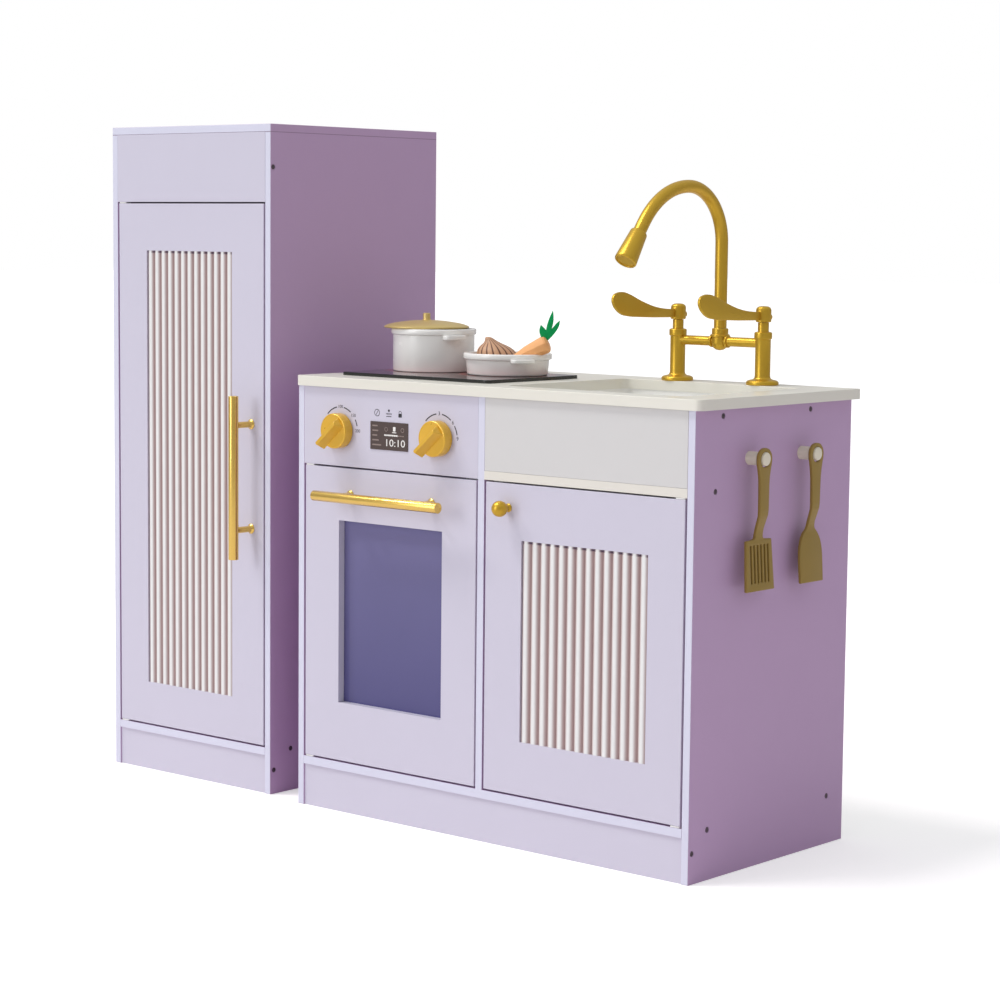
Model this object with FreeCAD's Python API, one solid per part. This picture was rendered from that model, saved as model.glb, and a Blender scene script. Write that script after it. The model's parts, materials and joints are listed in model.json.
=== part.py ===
import FreeCAD, Part
import math
import os

os.makedirs("parts", exist_ok=True)

V = FreeCAD.Vector
X_AXIS = V(1, 0, 0)
Y_AXIS = V(0, 1, 0)
Z_AXIS = V(0, 0, 1)

# ---- driving dimensions, millimetres ----
# Everything is drawn from the front left bottom corner of the kitchen unit and moved once, in save().
BOARD = 9.5
REVEAL = 2.0
SIDE_GAP = 2.5
BACK_SHEET = 3.0
EDGE_ROUND = 0.8

KITCHEN_W = 594.0
KITCHEN_D = 300.0
SIDE_H = 514.0
DIVIDER_X = 288.5
SHELF_Z = 51.0
SHELF_T = 10.0
RAIL_Z = 420.0
RAIL_T = 10.0
PLINTH_SETBACK = 2.0

TOP_T = 12.0
TOP_LEFT = 3.0
TOP_RIGHT = 10.0
TOP_FRONT = 4.0
TOP_BACK = 2.0
TOP_CORNER_R = 9.0

SINK_X = 428.0
SINK_W = 254.0
SINK_FRONT = 31.0
SINK_BACK = 254.0
SINK_R = 12.0
SINK_DEPTH = 76.0
SINK_WALL = 1.5
SINK_FLANGE = 8.0
SINK_BACK_FLANGE = 4.0

HOB_X = 149.5
HOB_W = 236.0
HOB_FRONT = 40.0
HOB_BACK = 208.0
HOB_T = 4.0
HOB_R = 7.0

FRIDGE_X = -349.0
FRIDGE_Y = 9.5
FRIDGE_W = 290.0
FRIDGE_D = 300.0
FRIDGE_H = 828.0
FRIDGE_SHELF_Z = 48.5
HEADER_Z = 733.5
FRIDGE_LEVELS = (280.0, 505.0)
FRIDGE_SHELF_FRONT = 45.0

PIVOT_IN = 7.0
PIVOT_D = 4.0
PIVOT_HOLE = 4.1
PIVOT_INTO_DOOR = 10.0
PIVOT_INTO_CASE = 6.0

WINDOW_X0 = 68.0
WINDOW_X1 = 234.0
WINDOW_Z0 = 134.0
WINDOW_Z1 = 355.0
WINDOW_LAP = 8.0
WINDOW_T = 3.0

CUP_PANEL_X0 = 354.0
CUP_PANEL_X1 = 533.5
CUP_PANEL_Z0 = 124.5
CUP_PANEL_Z1 = 354.5
CUP_REEDS = 14
FRIDGE_PANEL_X0 = -284.3
FRIDGE_PANEL_X1 = -127.0
FRIDGE_PANEL_Z0 = 115.0
FRIDGE_PANEL_Z1 = 672.0
FRIDGE_REEDS = 13
REED_DEPTH = 3.2
REED_SETBACK = 0.4
PANEL_LAP = 8.0
PANEL_BACK_T = 3.0

BAR_D = 12.5
BAR_LENGTH = 202.0
BAR_PITCH = 130.0
BAR_STANDOFF = 30.0
POST_D = 8.0
POST_FOOT_D = 12.0
POST_FOOT_T = 2.0
OVEN_BAR_X = 150.0
OVEN_BAR_Z = 386.0
FRIDGE_BAR_X = -93.0
FRIDGE_BAR_Z = 395.5

BALL_D = 19.0
BALL_X = 334.5
BALL_Z = 390.5
BALL_STANDOFF = 19.0

DIAL_X = (70.0, 228.3)
DIAL_Z = 462.7
DIAL_D = 42.0
DIAL_T = 13.0
GRIP_W = 10.0
GRIP_T = 9.5
GRIP_TAIL = 18.0
GRIP_NOSE = 27.0
GRIP_ANGLE = 41.0
RUN_CLEAR = 0.05
FACE_GAP = 0.3

SCREEN_X0 = 120.0
SCREEN_X1 = 180.0
SCREEN_Z0 = 444.0
SCREEN_Z1 = 477.0
SCREEN_T = 0.8

TAP_X = SINK_X
TAP_Y = 271.0
TAP_PITCH = 123.2
FLANGE_D = 38.0
TAP_POST_D = 18.0
BRIDGE_Z = 574.6
BRIDGE_D = 11.3
COLLAR_Z = 580.0
NECK_Z = 587.5
CAP_Z = 599.0
CAP_TOP = 617.6
TEE_Z = 581.3
TEE_TOP = 590.0
SPOUT_D = 15.0
SPOUT_RISE_Z = 678.0
SPOUT_R = 81.0
SPOUT_OVER = 52.0
SPOUT_STRAIGHT = 28.0
HEAD_LENGTH = 41.0
HEAD_D0 = 20.0
HEAD_D1 = 26.0
LEVER_T = 3.5

PEG_D = 15.0
PEG_LENGTH = 24.0
PEG_Z = 458.0
TURNER_Y = 99.3
SPATULA_Y = 199.4
TOOL_HOLE_D = 17.0
TOOL_RING_D = 26.0
TOOL_T = 4.0

POT_X = 88.0
POT_Y = 145.0
POT_D = 99.6
POT_RIM_D = 104.0
POT_H = 52.0
POT_WALL = 3.0
POT_RIM_H = 7.0
LID_X = 79.0
LID_Y = 144.0
DISH_X = 203.0
DISH_Y = 150.0
DISH_D = 100.0
DISH_FOOT_D = 97.0
DISH_RIM_D = 106.0
DISH_H = 26.0

# ---- derived positions ----
COUNTER_Z = SIDE_H + TOP_T
HOB_Z = COUNTER_Z + HOB_T
RIGHT_X = KITCHEN_W - BOARD
DIVIDER_RIGHT = DIVIDER_X + BOARD
FRIDGE_RIGHT = FRIDGE_X + FRIDGE_W
DOOR_Z0 = SHELF_Z + SHELF_T + REVEAL
DOOR_Z1 = RAIL_Z - REVEAL
OVEN_X0 = BOARD + SIDE_GAP
OVEN_X1 = DIVIDER_X - SIDE_GAP
CUP_X0 = DIVIDER_RIGHT + SIDE_GAP
CUP_X1 = RIGHT_X - SIDE_GAP
FRIDGE_DOOR_X0 = FRIDGE_X + BOARD + SIDE_GAP
FRIDGE_DOOR_X1 = FRIDGE_RIGHT - BOARD - SIDE_GAP
FRIDGE_DOOR_Z0 = FRIDGE_SHELF_Z + BOARD + REVEAL
FRIDGE_DOOR_Z1 = HEADER_Z - REVEAL
TAP_POST_X = (TAP_X - TAP_PITCH / 2, TAP_X + TAP_PITCH / 2)
SHIFT = V(
    -(FRIDGE_X + KITCHEN_W + PEG_LENGTH) / 2,
    -(FRIDGE_Y + FRIDGE_D - BAR_STANDOFF - BAR_D / 2) / 2,
    0,
)


# ---- helpers ----
def box(x0, x1, y0, y1, z0, z1):
    return Part.makeBox(x1 - x0, y1 - y0, z1 - z0, V(x0, y0, z0))


def rod(diameter, length, base, axis):
    return Part.makeCylinder(diameter / 2, length, base, axis)


def fuse(shapes):
    return shapes[0].fuse(shapes[1:]).removeSplitter()


def prism(points, direction):
    """A solid from a closed outline of flat corner points, pushed along a vector."""
    wire = Part.makePolygon(points + [points[0]])
    return Part.Face(wire).extrude(direction)


def edges_along(shape, axis, test):
    """The straight edges that run along an axis and whose middle passes a test."""
    found = []
    for edge in shape.Edges:
        if len(edge.Vertexes) != 2:
            continue
        run = edge.Vertexes[1].Point - edge.Vertexes[0].Point
        if run.Length > 0 and abs(abs(run.normalize().dot(axis)) - 1) < 1e-6:
            if test(edge.CenterOfMass):
                found.append(edge)
    return found


def round_front(board, y_front):
    """Softens the four edges round a board's front face."""
    on_front = lambda p: abs(p.y - y_front) < 1e-6
    edges = edges_along(board, X_AXIS, on_front) + edges_along(board, Z_AXIS, on_front)
    return board.makeFillet(EDGE_ROUND, edges)


def turned(profile, centre, axis=Z_AXIS):
    """A solid of revolution from (radius, height) corners, standing on a centre point."""
    points = [V(radius, 0, height) for radius, height in profile]
    face = Part.Face(Part.makePolygon(points + [points[0]]))
    solid = face.revolve(V(0, 0, 0), Z_AXIS, 360)
    solid.Placement = FreeCAD.Placement(centre, FreeCAD.Rotation(Z_AXIS, axis))
    return solid


def save(name, shape):
    placed = shape.copy()
    placed.translate(SHIFT)
    placed.exportStep("parts/" + name + ".step")


# ---- fasteners ----
def wood_screw(x, y, z, inward):
    """A flush countersunk screw along X. inward is +1 or -1."""
    head = turned([(0, 0), (3.5, 0), (3.5, 0.4), (1.6, 2.4), (0, 2.4)], V(x, y, z), X_AXIS * inward)
    shank = rod(3.0, 22.0, V(x, y, z), X_AXIS * inward)
    return fuse([head, shank])


def kitchen_screws():
    right = [(50.0, 506.0), (217.0, 506.0), (38.0, 425.0), (6.8, 34.0), (34.0, 56.0), (267.0, 56.0)]
    made = [wood_screw(KITCHEN_W, y, z, -1) for y, z in right]
    made += [wood_screw(0, y, z, 1) for y, z in right]
    return made


def fridge_screws():
    spots = [(4.75, 776.0), (36.0, 53.25), (258.0, 53.25), (6.75, 30.0)]
    for level in FRIDGE_LEVELS:
        spots += [(70.0, level + BOARD / 2), (250.0, level + BOARD / 2)]
    made = [wood_screw(FRIDGE_RIGHT, FRIDGE_Y + y, z, -1) for y, z in spots]
    made += [wood_screw(FRIDGE_X, FRIDGE_Y + y, z, 1) for y, z in spots]
    return made


def pivot_pins(x, y, z0, z1):
    """The two pins of a door: one down from its bottom edge and one up from its top edge."""
    reach = PIVOT_INTO_DOOR + REVEAL + PIVOT_INTO_CASE
    low = rod(PIVOT_D, reach, V(x, y, z0 - REVEAL - PIVOT_INTO_CASE), Z_AXIS)
    high = rod(PIVOT_D, reach, V(x, y, z1 - PIVOT_INTO_DOOR), Z_AXIS)
    return [low, high]


def pivot_bores(x, y, z0, z1):
    """The running holes for a door's pins in the boards under and over it."""
    depth = PIVOT_INTO_CASE + 1
    low = rod(PIVOT_HOLE, depth, V(x, y, z0 - REVEAL - depth), Z_AXIS)
    high = rod(PIVOT_HOLE, depth, V(x, y, z1 + REVEAL), Z_AXIS)
    return [low, high]


# ---- kitchen unit ----
def cleat_boxes():
    side = 16.0
    z0 = SIDE_H - side
    return [
        box(BOARD, BOARD + side, 20, 285, z0, SIDE_H),
        box(DIVIDER_X - side, DIVIDER_X, 20, 285, z0, SIDE_H),
        box(RIGHT_X - side, RIGHT_X, 20, 285, z0, SIDE_H),
    ]


def countertop():
    slab = box(-TOP_LEFT, KITCHEN_W + TOP_RIGHT, -TOP_FRONT, KITCHEN_D + TOP_BACK, SIDE_H, COUNTER_Z)
    corners = edges_along(slab, Z_AXIS, lambda p: p.y < 0)
    slab = slab.makeFillet(TOP_CORNER_R, corners)
    hole = box(SINK_X - SINK_W / 2, SINK_X + SINK_W / 2, SINK_FRONT, SINK_BACK, SIDE_H - 1, COUNTER_Z + 1)
    hole = hole.makeFillet(SINK_R, edges_along(hole, Z_AXIS, lambda p: True))
    slab = slab.cut(hole)
    on_top = [e for e in slab.Edges if abs(e.BoundBox.ZMin - COUNTER_Z) < 1e-6]
    slab = slab.makeFillet(EDGE_ROUND, on_top)
    for x in TAP_POST_X:
        slab = slab.cut(rod(8.0, TOP_T + 2, V(x, TAP_Y, SIDE_H - 1), Z_AXIS))
    return slab


def sink_basin():
    over = 1.0
    x0 = SINK_X - SINK_W / 2 - over
    x1 = SINK_X + SINK_W / 2 + over
    y0 = SINK_FRONT - over
    y1 = SINK_BACK + over
    w = SINK_WALL
    bottom = SIDE_H - SINK_DEPTH
    outer = box(x0 - w, x1 + w, y0 - w, y1 + w, bottom - w, SIDE_H)
    outer = outer.makeFillet(SINK_R + w, edges_along(outer, Z_AXIS, lambda p: True))
    flange_x1 = x1 + w + SINK_FLANGE
    flange_y1 = y1 + w + SINK_BACK_FLANGE
    flange = box(x0 - w, flange_x1, y0 - w - SINK_FLANGE, flange_y1, SIDE_H - 2, SIDE_H)
    inner = box(x0, x1, y0, y1, bottom, SIDE_H + 1)
    inner = inner.makeFillet(SINK_R, edges_along(inner, Z_AXIS, lambda p: True))
    return fuse([outer, flange]).cut(inner)


def hob_plate():
    x0 = HOB_X - HOB_W / 2
    plate = box(x0, x0 + HOB_W, HOB_FRONT, HOB_BACK, COUNTER_Z, HOB_Z)
    plate = plate.makeFillet(HOB_R, edges_along(plate, Z_AXIS, lambda p: True))
    top = [e for e in plate.Edges if abs(e.BoundBox.ZMin - HOB_Z) < 1e-6]
    return plate.makeFillet(EDGE_ROUND, top)


def control_panel():
    board = round_front(box(BOARD, DIVIDER_X, 0, BOARD, RAIL_Z, SIDE_H), 0)
    for x in DIAL_X:
        board = board.cut(rod(6.0 + 2 * RUN_CLEAR, BOARD + 2, V(x, -1, DIAL_Z), Y_AXIS))
    return board


def utensil_pegs():
    made = []
    for y in (TURNER_Y, SPATULA_Y):
        peg = rod(PEG_D, PEG_LENGTH, V(KITCHEN_W, y, PEG_Z), X_AXIS)
        rim = [e for e in peg.Edges if e.BoundBox.XMin > KITCHEN_W + PEG_LENGTH - 1e-6]
        made.append(fuse([peg.makeFillet(1.0, rim), rod(8.0, BOARD, V(RIGHT_X, y, PEG_Z), X_AXIS)]))
    return made


def door_magnets():
    width = 20.0
    depth = 8.0
    back = BOARD + FACE_GAP
    oven = box(OVEN_X1 - width - 4, OVEN_X1 - 4, back, back + depth, RAIL_Z - 10, RAIL_Z)
    cupboard = box(CUP_X0 + 4, CUP_X0 + 4 + width, back, back + depth, RAIL_Z - 10, RAIL_Z)
    return [oven, cupboard]


def save_kitchen_unit():
    screws = kitchen_screws()
    pegs = utensil_pegs()
    oven_bores = pivot_bores(OVEN_X0 + PIVOT_IN, BOARD / 2, DOOR_Z0, DOOR_Z1)
    cup_bores = pivot_bores(CUP_X1 - PIVOT_IN, BOARD / 2, DOOR_Z0, DOOR_Z1)
    bores = oven_bores + cup_bores
    inner_back = KITCHEN_D - BACK_SHEET
    shelf = box(BOARD, RIGHT_X, 0, inner_back, SHELF_Z, SHELF_Z + SHELF_T)
    rail = box(DIVIDER_RIGHT, RIGHT_X, 0, inner_back, RAIL_Z, RAIL_Z + RAIL_T)
    plinth = box(BOARD, RIGHT_X, PLINTH_SETBACK, PLINTH_SETBACK + BOARD, 0, SHELF_Z)
    ceiling = box(BOARD, DIVIDER_X, BOARD, inner_back, RAIL_Z, RAIL_Z + BOARD)
    cleats = [cleat.cut(screws) for cleat in cleat_boxes()]
    save("kitchen_left_side", round_front(box(0, BOARD, 0, KITCHEN_D, 0, SIDE_H), 0).cut(screws))
    save("kitchen_right_side", round_front(box(RIGHT_X, KITCHEN_W, 0, KITCHEN_D, 0, SIDE_H), 0).cut(screws + pegs))
    save("kitchen_divider", box(DIVIDER_X, DIVIDER_RIGHT, 0, inner_back, SHELF_Z + SHELF_T, SIDE_H))
    save("kitchen_bottom_shelf", shelf.cut(screws + bores))
    save("kitchen_plinth", plinth.cut(screws))
    save("kitchen_back_panel", box(BOARD, RIGHT_X, inner_back, KITCHEN_D, SHELF_Z, SIDE_H))
    save("kitchen_rail_board", rail.cut(screws + bores))
    save("oven_ceiling", ceiling.cut(screws))
    save("sink_apron", round_front(box(DIVIDER_RIGHT, RIGHT_X, 0, BOARD, RAIL_Z + RAIL_T, SIDE_H), 0))
    save("control_panel", control_panel().cut(bores))
    save("display_panel", box(SCREEN_X0, SCREEN_X1, -SCREEN_T, 0, SCREEN_Z0, SCREEN_Z1))
    save("countertop", countertop())
    save("counter_cleats", Part.makeCompound(cleats))
    save("hob_plate", hob_plate())
    save("sink_basin", sink_basin())
    save("kitchen_screws", Part.makeCompound(screws))
    save("utensil_pegs", Part.makeCompound(pegs))
    save("door_magnets", Part.makeCompound(door_magnets()))


# ---- fridge unit ----
def save_fridge_unit():
    screws = fridge_screws()
    x0 = FRIDGE_X + BOARD
    x1 = FRIDGE_RIGHT - BOARD
    y0 = FRIDGE_Y
    y1 = FRIDGE_Y + FRIDGE_D
    top_z = FRIDGE_H - BOARD
    inner_back = y1 - BACK_SHEET
    bores = pivot_bores(FRIDGE_DOOR_X0 + PIVOT_IN, y0 + BOARD / 2, FRIDGE_DOOR_Z0, FRIDGE_DOOR_Z1)
    plinth_y = y0 + PLINTH_SETBACK
    shelf = box(x0, x1, y0, inner_back, FRIDGE_SHELF_Z, FRIDGE_SHELF_Z + BOARD)
    header = box(x0, x1, y0, y0 + BOARD, HEADER_Z, top_z)
    levels = [box(x0, x1, FRIDGE_SHELF_FRONT, inner_back, z, z + BOARD).cut(screws) for z in FRIDGE_LEVELS]
    magnet_y = y0 + BOARD + FACE_GAP
    magnet = box(x1 - 22, x1, magnet_y, magnet_y + 8, FRIDGE_DOOR_Z1 - 26, FRIDGE_DOOR_Z1 - 16)
    save("fridge_left_side", round_front(box(FRIDGE_X, x0, y0, y1, 0, top_z), y0).cut(screws))
    save("fridge_right_side", round_front(box(x1, FRIDGE_RIGHT, y0, y1, 0, top_z), y0).cut(screws))
    save("fridge_top", round_front(box(FRIDGE_X, FRIDGE_RIGHT, y0, y1, top_z, FRIDGE_H), y0))
    save("fridge_header", header.cut(screws + bores))
    save("fridge_bottom_shelf", shelf.cut(screws + bores))
    save("fridge_plinth", box(x0, x1, plinth_y, plinth_y + BOARD, 0, FRIDGE_SHELF_Z).cut(screws))
    save("fridge_back_panel", box(x0, x1, inner_back, y1, FRIDGE_SHELF_Z, top_z))
    save("fridge_shelves", Part.makeCompound(levels))
    save("fridge_screws", Part.makeCompound(screws))
    save("fridge_magnet", magnet)


# ---- doors ----
def reeded_panel(x0, x1, z0, z1, reeds, y_face):
    """A row of upright half-round reeds in a door's opening, on a back plate that laps behind the door."""
    pitch = (x1 - x0) / reeds
    crest = y_face + REED_SETBACK
    groove = crest + REED_DEPTH
    back = y_face + BOARD
    edges = []
    for i in range(reeds):
        left = x0 + i * pitch
        middle = V(left + pitch / 2, crest, z0)
        edges.append(Part.Arc(V(left, groove, z0), middle, V(left + pitch, groove, z0)).toShape())
    edges.append(Part.makeLine(V(x1, groove, z0), V(x1, back, z0)))
    edges.append(Part.makeLine(V(x1, back, z0), V(x0, back, z0)))
    edges.append(Part.makeLine(V(x0, back, z0), V(x0, groove, z0)))
    reeded = Part.Face(Part.Wire(edges)).extrude(V(0, 0, z1 - z0))
    lap = PANEL_LAP
    plate = box(x0 - lap, x1 + lap, back, back + PANEL_BACK_T, z0 - lap, z1 + lap)
    return fuse([reeded, plate])


def door_board(x0, x1, z0, z1, y0, opening, pins):
    """A door board with a rectangular opening, its front edges softened, bored for its pivot pins."""
    board = round_front(box(x0, x1, y0, y0 + BOARD, z0, z1), y0)
    hole_x0, hole_x1, hole_z0, hole_z1 = opening
    board = board.cut(box(hole_x0, hole_x1, y0 - 1, y0 + BOARD + 1, hole_z0, hole_z1))
    return board.cut(pins)


def bar_handle(centre, along):
    """A round bar on two posts. centre is on the door's face."""
    middle = centre - Y_AXIS * BAR_STANDOFF
    bar = rod(BAR_D, BAR_LENGTH, middle - along * (BAR_LENGTH / 2), along)
    ends = [e for e in bar.Edges if isinstance(e.Curve, Part.Circle)]
    made = [bar.makeFillet(EDGE_ROUND, ends)]
    for side in (-1, 1):
        foot = centre + along * (side * BAR_PITCH / 2)
        made.append(rod(POST_D, BAR_STANDOFF, foot, -Y_AXIS))
        made.append(rod(POST_FOOT_D, POST_FOOT_T, foot, -Y_AXIS))
    return fuse(made)


def ball_knob():
    foot = V(BALL_X, 0, BALL_Z)
    ball = Part.makeSphere(BALL_D / 2, foot - Y_AXIS * BALL_STANDOFF)
    neck = rod(8.0, BALL_STANDOFF, foot, -Y_AXIS)
    base = rod(12.0, 2.0, foot, -Y_AXIS)
    return fuse([ball, neck, base])


def window_screws():
    """Small pan-head screws that hold the window to the back of the oven door."""
    made = []
    back = BOARD + WINDOW_T
    inset = WINDOW_LAP / 2
    for x in (WINDOW_X0 - inset, WINDOW_X1 + inset):
        for z in (WINDOW_Z0 + 12, (WINDOW_Z0 + WINDOW_Z1) / 2, WINDOW_Z1 - 12):
            head = rod(5.0, 1.5, V(x, back, z), Y_AXIS)
            made.append(fuse([head, rod(2.0, WINDOW_T + 6, V(x, back, z), -Y_AXIS)]))
    return made


def save_oven_door():
    pins = pivot_pins(OVEN_X0 + PIVOT_IN, BOARD / 2, DOOR_Z0, DOOR_Z1)
    screws = window_screws()
    opening = (WINDOW_X0, WINDOW_X1, WINDOW_Z0, WINDOW_Z1)
    lap = WINDOW_LAP
    sheet = box(WINDOW_X0 - lap, WINDOW_X1 + lap, BOARD, BOARD + WINDOW_T, WINDOW_Z0 - lap, WINDOW_Z1 + lap)
    save("oven_door", door_board(OVEN_X0, OVEN_X1, DOOR_Z0, DOOR_Z1, 0, opening, pins + screws))
    save("oven_window", sheet.cut(screws))
    save("oven_window_screws", Part.makeCompound(screws))
    save("oven_handle", bar_handle(V(OVEN_BAR_X, 0, OVEN_BAR_Z), X_AXIS))
    save("oven_door_pivots", Part.makeCompound(pins))


def save_cupboard_door():
    pins = pivot_pins(CUP_X1 - PIVOT_IN, BOARD / 2, DOOR_Z0, DOOR_Z1)
    opening = (CUP_PANEL_X0, CUP_PANEL_X1, CUP_PANEL_Z0, CUP_PANEL_Z1)
    save("cupboard_door", door_board(CUP_X0, CUP_X1, DOOR_Z0, DOOR_Z1, 0, opening, pins))
    save("cupboard_fluted_panel", reeded_panel(*opening, CUP_REEDS, 0))
    save("cupboard_knob", ball_knob())
    save("cupboard_door_pivots", Part.makeCompound(pins))


def save_fridge_door():
    y0 = FRIDGE_Y
    pins = pivot_pins(FRIDGE_DOOR_X0 + PIVOT_IN, y0 + BOARD / 2, FRIDGE_DOOR_Z0, FRIDGE_DOOR_Z1)
    opening = (FRIDGE_PANEL_X0, FRIDGE_PANEL_X1, FRIDGE_PANEL_Z0, FRIDGE_PANEL_Z1)
    span = (FRIDGE_DOOR_X0, FRIDGE_DOOR_X1, FRIDGE_DOOR_Z0, FRIDGE_DOOR_Z1)
    save("fridge_door", door_board(*span, y0, opening, pins))
    save("fridge_fluted_panel", reeded_panel(*opening, FRIDGE_REEDS, y0))
    save("fridge_handle", bar_handle(V(FRIDGE_BAR_X, y0, FRIDGE_BAR_Z), Z_AXIS))
    save("fridge_door_pivots", Part.makeCompound(pins))


# ---- control knobs ----
def control_knob(x):
    """A round dial with a raised diagonal grip, its spindle and the collar that keeps it in the panel."""
    face = -FACE_GAP - DIAL_T
    disc = rod(DIAL_D, DIAL_T, V(x, -FACE_GAP, DIAL_Z), -Y_AXIS)
    rim = [e for e in disc.Edges if e.BoundBox.YMax < face + 1e-6]
    disc = disc.makeFillet(2.0, rim)
    grip = box(-GRIP_NOSE, GRIP_TAIL, -GRIP_T, 1, -GRIP_W / 2, GRIP_W / 2)
    grip = grip.makeFillet(GRIP_W / 2 - 0.2, edges_along(grip, Y_AXIS, lambda p: True))
    top = [e for e in grip.Edges if e.BoundBox.YMax < 1e-6 - GRIP_T]
    grip = grip.makeFillet(2.0, top)
    grip.rotate(V(0, 0, 0), Y_AXIS, -GRIP_ANGLE)
    grip.translate(V(x, face, DIAL_Z))
    spindle = rod(6.0, BOARD + 4 + FACE_GAP, V(x, -FACE_GAP, DIAL_Z), Y_AXIS)
    collar = rod(12.0, 3.0, V(x, BOARD + FACE_GAP, DIAL_Z), Y_AXIS)
    return fuse([disc, grip, spindle, collar])


def save_control_knobs():
    save("knob_left_dial", control_knob(DIAL_X[0]))
    save("knob_right_dial", control_knob(DIAL_X[1]))


# ---- tap ----
def tap_post(x):
    """Flange, post, collar, neck and the fixing stud under the counter."""
    r = TAP_POST_D / 2
    profile = [
        (0, -20), (4, -20), (4, 0), (FLANGE_D / 2, 0), (FLANGE_D / 2, 3.5), (FLANGE_D / 2 - 3, 5.5),
        (r + 2.5, 7.5), (r, 10.5), (r, COLLAR_Z - COUNTER_Z), (10.4, COLLAR_Z - COUNTER_Z),
        (10.4, NECK_Z - COUNTER_Z - 1), (9.4, NECK_Z - COUNTER_Z), (6.45, NECK_Z - COUNTER_Z),
        (6.45, CAP_Z - FACE_GAP - COUNTER_Z), (0, CAP_Z - FACE_GAP - COUNTER_Z),
    ]
    post = turned(profile, V(x, TAP_Y, COUNTER_Z))
    return post.cut(rod(6.0 + 2 * RUN_CLEAR, 12.0, V(x, TAP_Y, CAP_Z - 10), Z_AXIS))


def tap_bridge(posts):
    tube = rod(BRIDGE_D, TAP_PITCH, V(TAP_POST_X[0], TAP_Y, BRIDGE_Z), X_AXIS)
    profile = [
        (0, -10.7), (4, -9.8), (7.5, -7), (9.7, -2.5), (9.7, 5), (11.6, 5.4), (11.6, 8), (9.7, 8.4),
        (9.7, 15.4), (0, 15.4),
    ]
    tee = turned(profile, V(TAP_X, TAP_Y, BRIDGE_Z))
    socket = rod(10.0 + 2 * RUN_CLEAR, 14.0, V(TAP_X, TAP_Y, TEE_TOP - 12), Z_AXIS)
    return fuse([tube, tee]).cut(posts + [socket])


def tap_nuts():
    made = []
    for x in TAP_POST_X:
        corners = [math.radians(60 * i) for i in range(6)]
        points = [V(x + 8 * math.cos(a), TAP_Y + 8 * math.sin(a), SIDE_H - 6) for a in corners]
        nut = prism(points, V(0, 0, 6))
        made.append(nut.cut(rod(8.0, 8.0, V(x, TAP_Y, SIDE_H - 7), Z_AXIS)))
    return made


def spout_path():
    """The spout's centre line from its foot to where the spray head starts, its end point and direction."""
    foot = V(TAP_X, TAP_Y, TEE_TOP + FACE_GAP)
    rise = V(TAP_X, TAP_Y, SPOUT_RISE_Z)
    centre = rise - Y_AXIS * SPOUT_R
    over = math.radians(SPOUT_OVER)
    at = lambda a: centre + Y_AXIS * (SPOUT_R * math.cos(a)) + Z_AXIS * (SPOUT_R * math.sin(a))
    last = at(math.pi / 2 + over)
    ahead = V(0, -math.cos(over), -math.sin(over))
    end = last + ahead * SPOUT_STRAIGHT
    arc = Part.Arc(rise, at(math.pi / 4 + over / 2), last).toShape()
    wire = Part.Wire([Part.makeLine(foot, rise), arc, Part.makeLine(last, end)])
    return wire, end, ahead


def tap_spout(wire):
    foot = V(TAP_X, TAP_Y, TEE_TOP + FACE_GAP)
    ring = Part.Wire([Part.makeCircle(SPOUT_D / 2, foot, Z_AXIS)])
    tube = wire.makePipeShell([ring], True, True)
    spigot = rod(10.0, 11.0, foot + Z_AXIS * 0.5, -Z_AXIS)
    return fuse([tube, spigot])


def spray_head(end, ahead):
    r0 = HEAD_D0 / 2
    r1 = HEAD_D1 / 2
    profile = [
        (0, 0), (r0 - 1, 0), (r0, 1), (r1, HEAD_LENGTH - 2), (r1 - 1, HEAD_LENGTH), (r1 - 2.5, HEAD_LENGTH),
        (r1 - 2.5, HEAD_LENGTH - 1), (0, HEAD_LENGTH - 1),
    ]
    return turned(profile, end, ahead)


def tap_lever(x):
    """A valve cap with its spindle and a flat upright paddle that points to the front."""
    hub = turned(
        [(0, CAP_Z - 9), (3, CAP_Z - 9), (3, CAP_Z), (9, CAP_Z), (9, CAP_TOP - 3), (8, CAP_TOP - 1),
         (5.5, CAP_TOP), (0, CAP_TOP)],
        V(x, TAP_Y, 0),
    )
    outline = [
        (TAP_Y, 601.4), (252, 601.4), (200, 602.6), (171.5, 604.2), (160, 606.5), (151, 611.5), (145.5, 617),
        (143.3, 623.5), (145.5, 628.5), (152, 631.6), (162, 632.5), (171.5, 630.8), (199, 621.2),
        (226, 613.9), (252, 611.4), (TAP_Y, 611.4),
    ]
    blade = prism([V(x - LEVER_T / 2, y, z) for y, z in outline], V(LEVER_T, 0, 0))
    nub = Part.makeSphere(4.0, V(x, TAP_Y + 10.0, 604.7))
    return fuse([hub, blade, nub])


def save_tap():
    posts = [tap_post(x) for x in TAP_POST_X]
    wire, end, ahead = spout_path()
    save("tap_posts", Part.makeCompound(posts))
    save("tap_bridge", tap_bridge(posts))
    save("tap_nuts", Part.makeCompound(tap_nuts()))
    save("tap_spout", tap_spout(wire))
    save("tap_spray_head", spray_head(end, ahead))
    save("tap_lever_left", tap_lever(TAP_POST_X[0]))
    save("tap_lever_right", tap_lever(TAP_POST_X[1]))


# ---- hanging utensils ----
def bent_slab(y0, y1):
    """The side profile of a utensil: straight from its ring, then cranked towards the panel and out again."""
    line = [(614.0, 472.0), (614.0, 402.0), (612.5, 392.0), (608.5, 380.0), (607.3, 370.0), (611.0, 312.0)]
    half = TOOL_T / 2
    outer = [V(x + half, y0, z) for x, z in line]
    inner = [V(x - half, y0, z) for x, z in reversed(line)]
    return prism(outer + inner, V(0, y1 - y0, 0))


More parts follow.
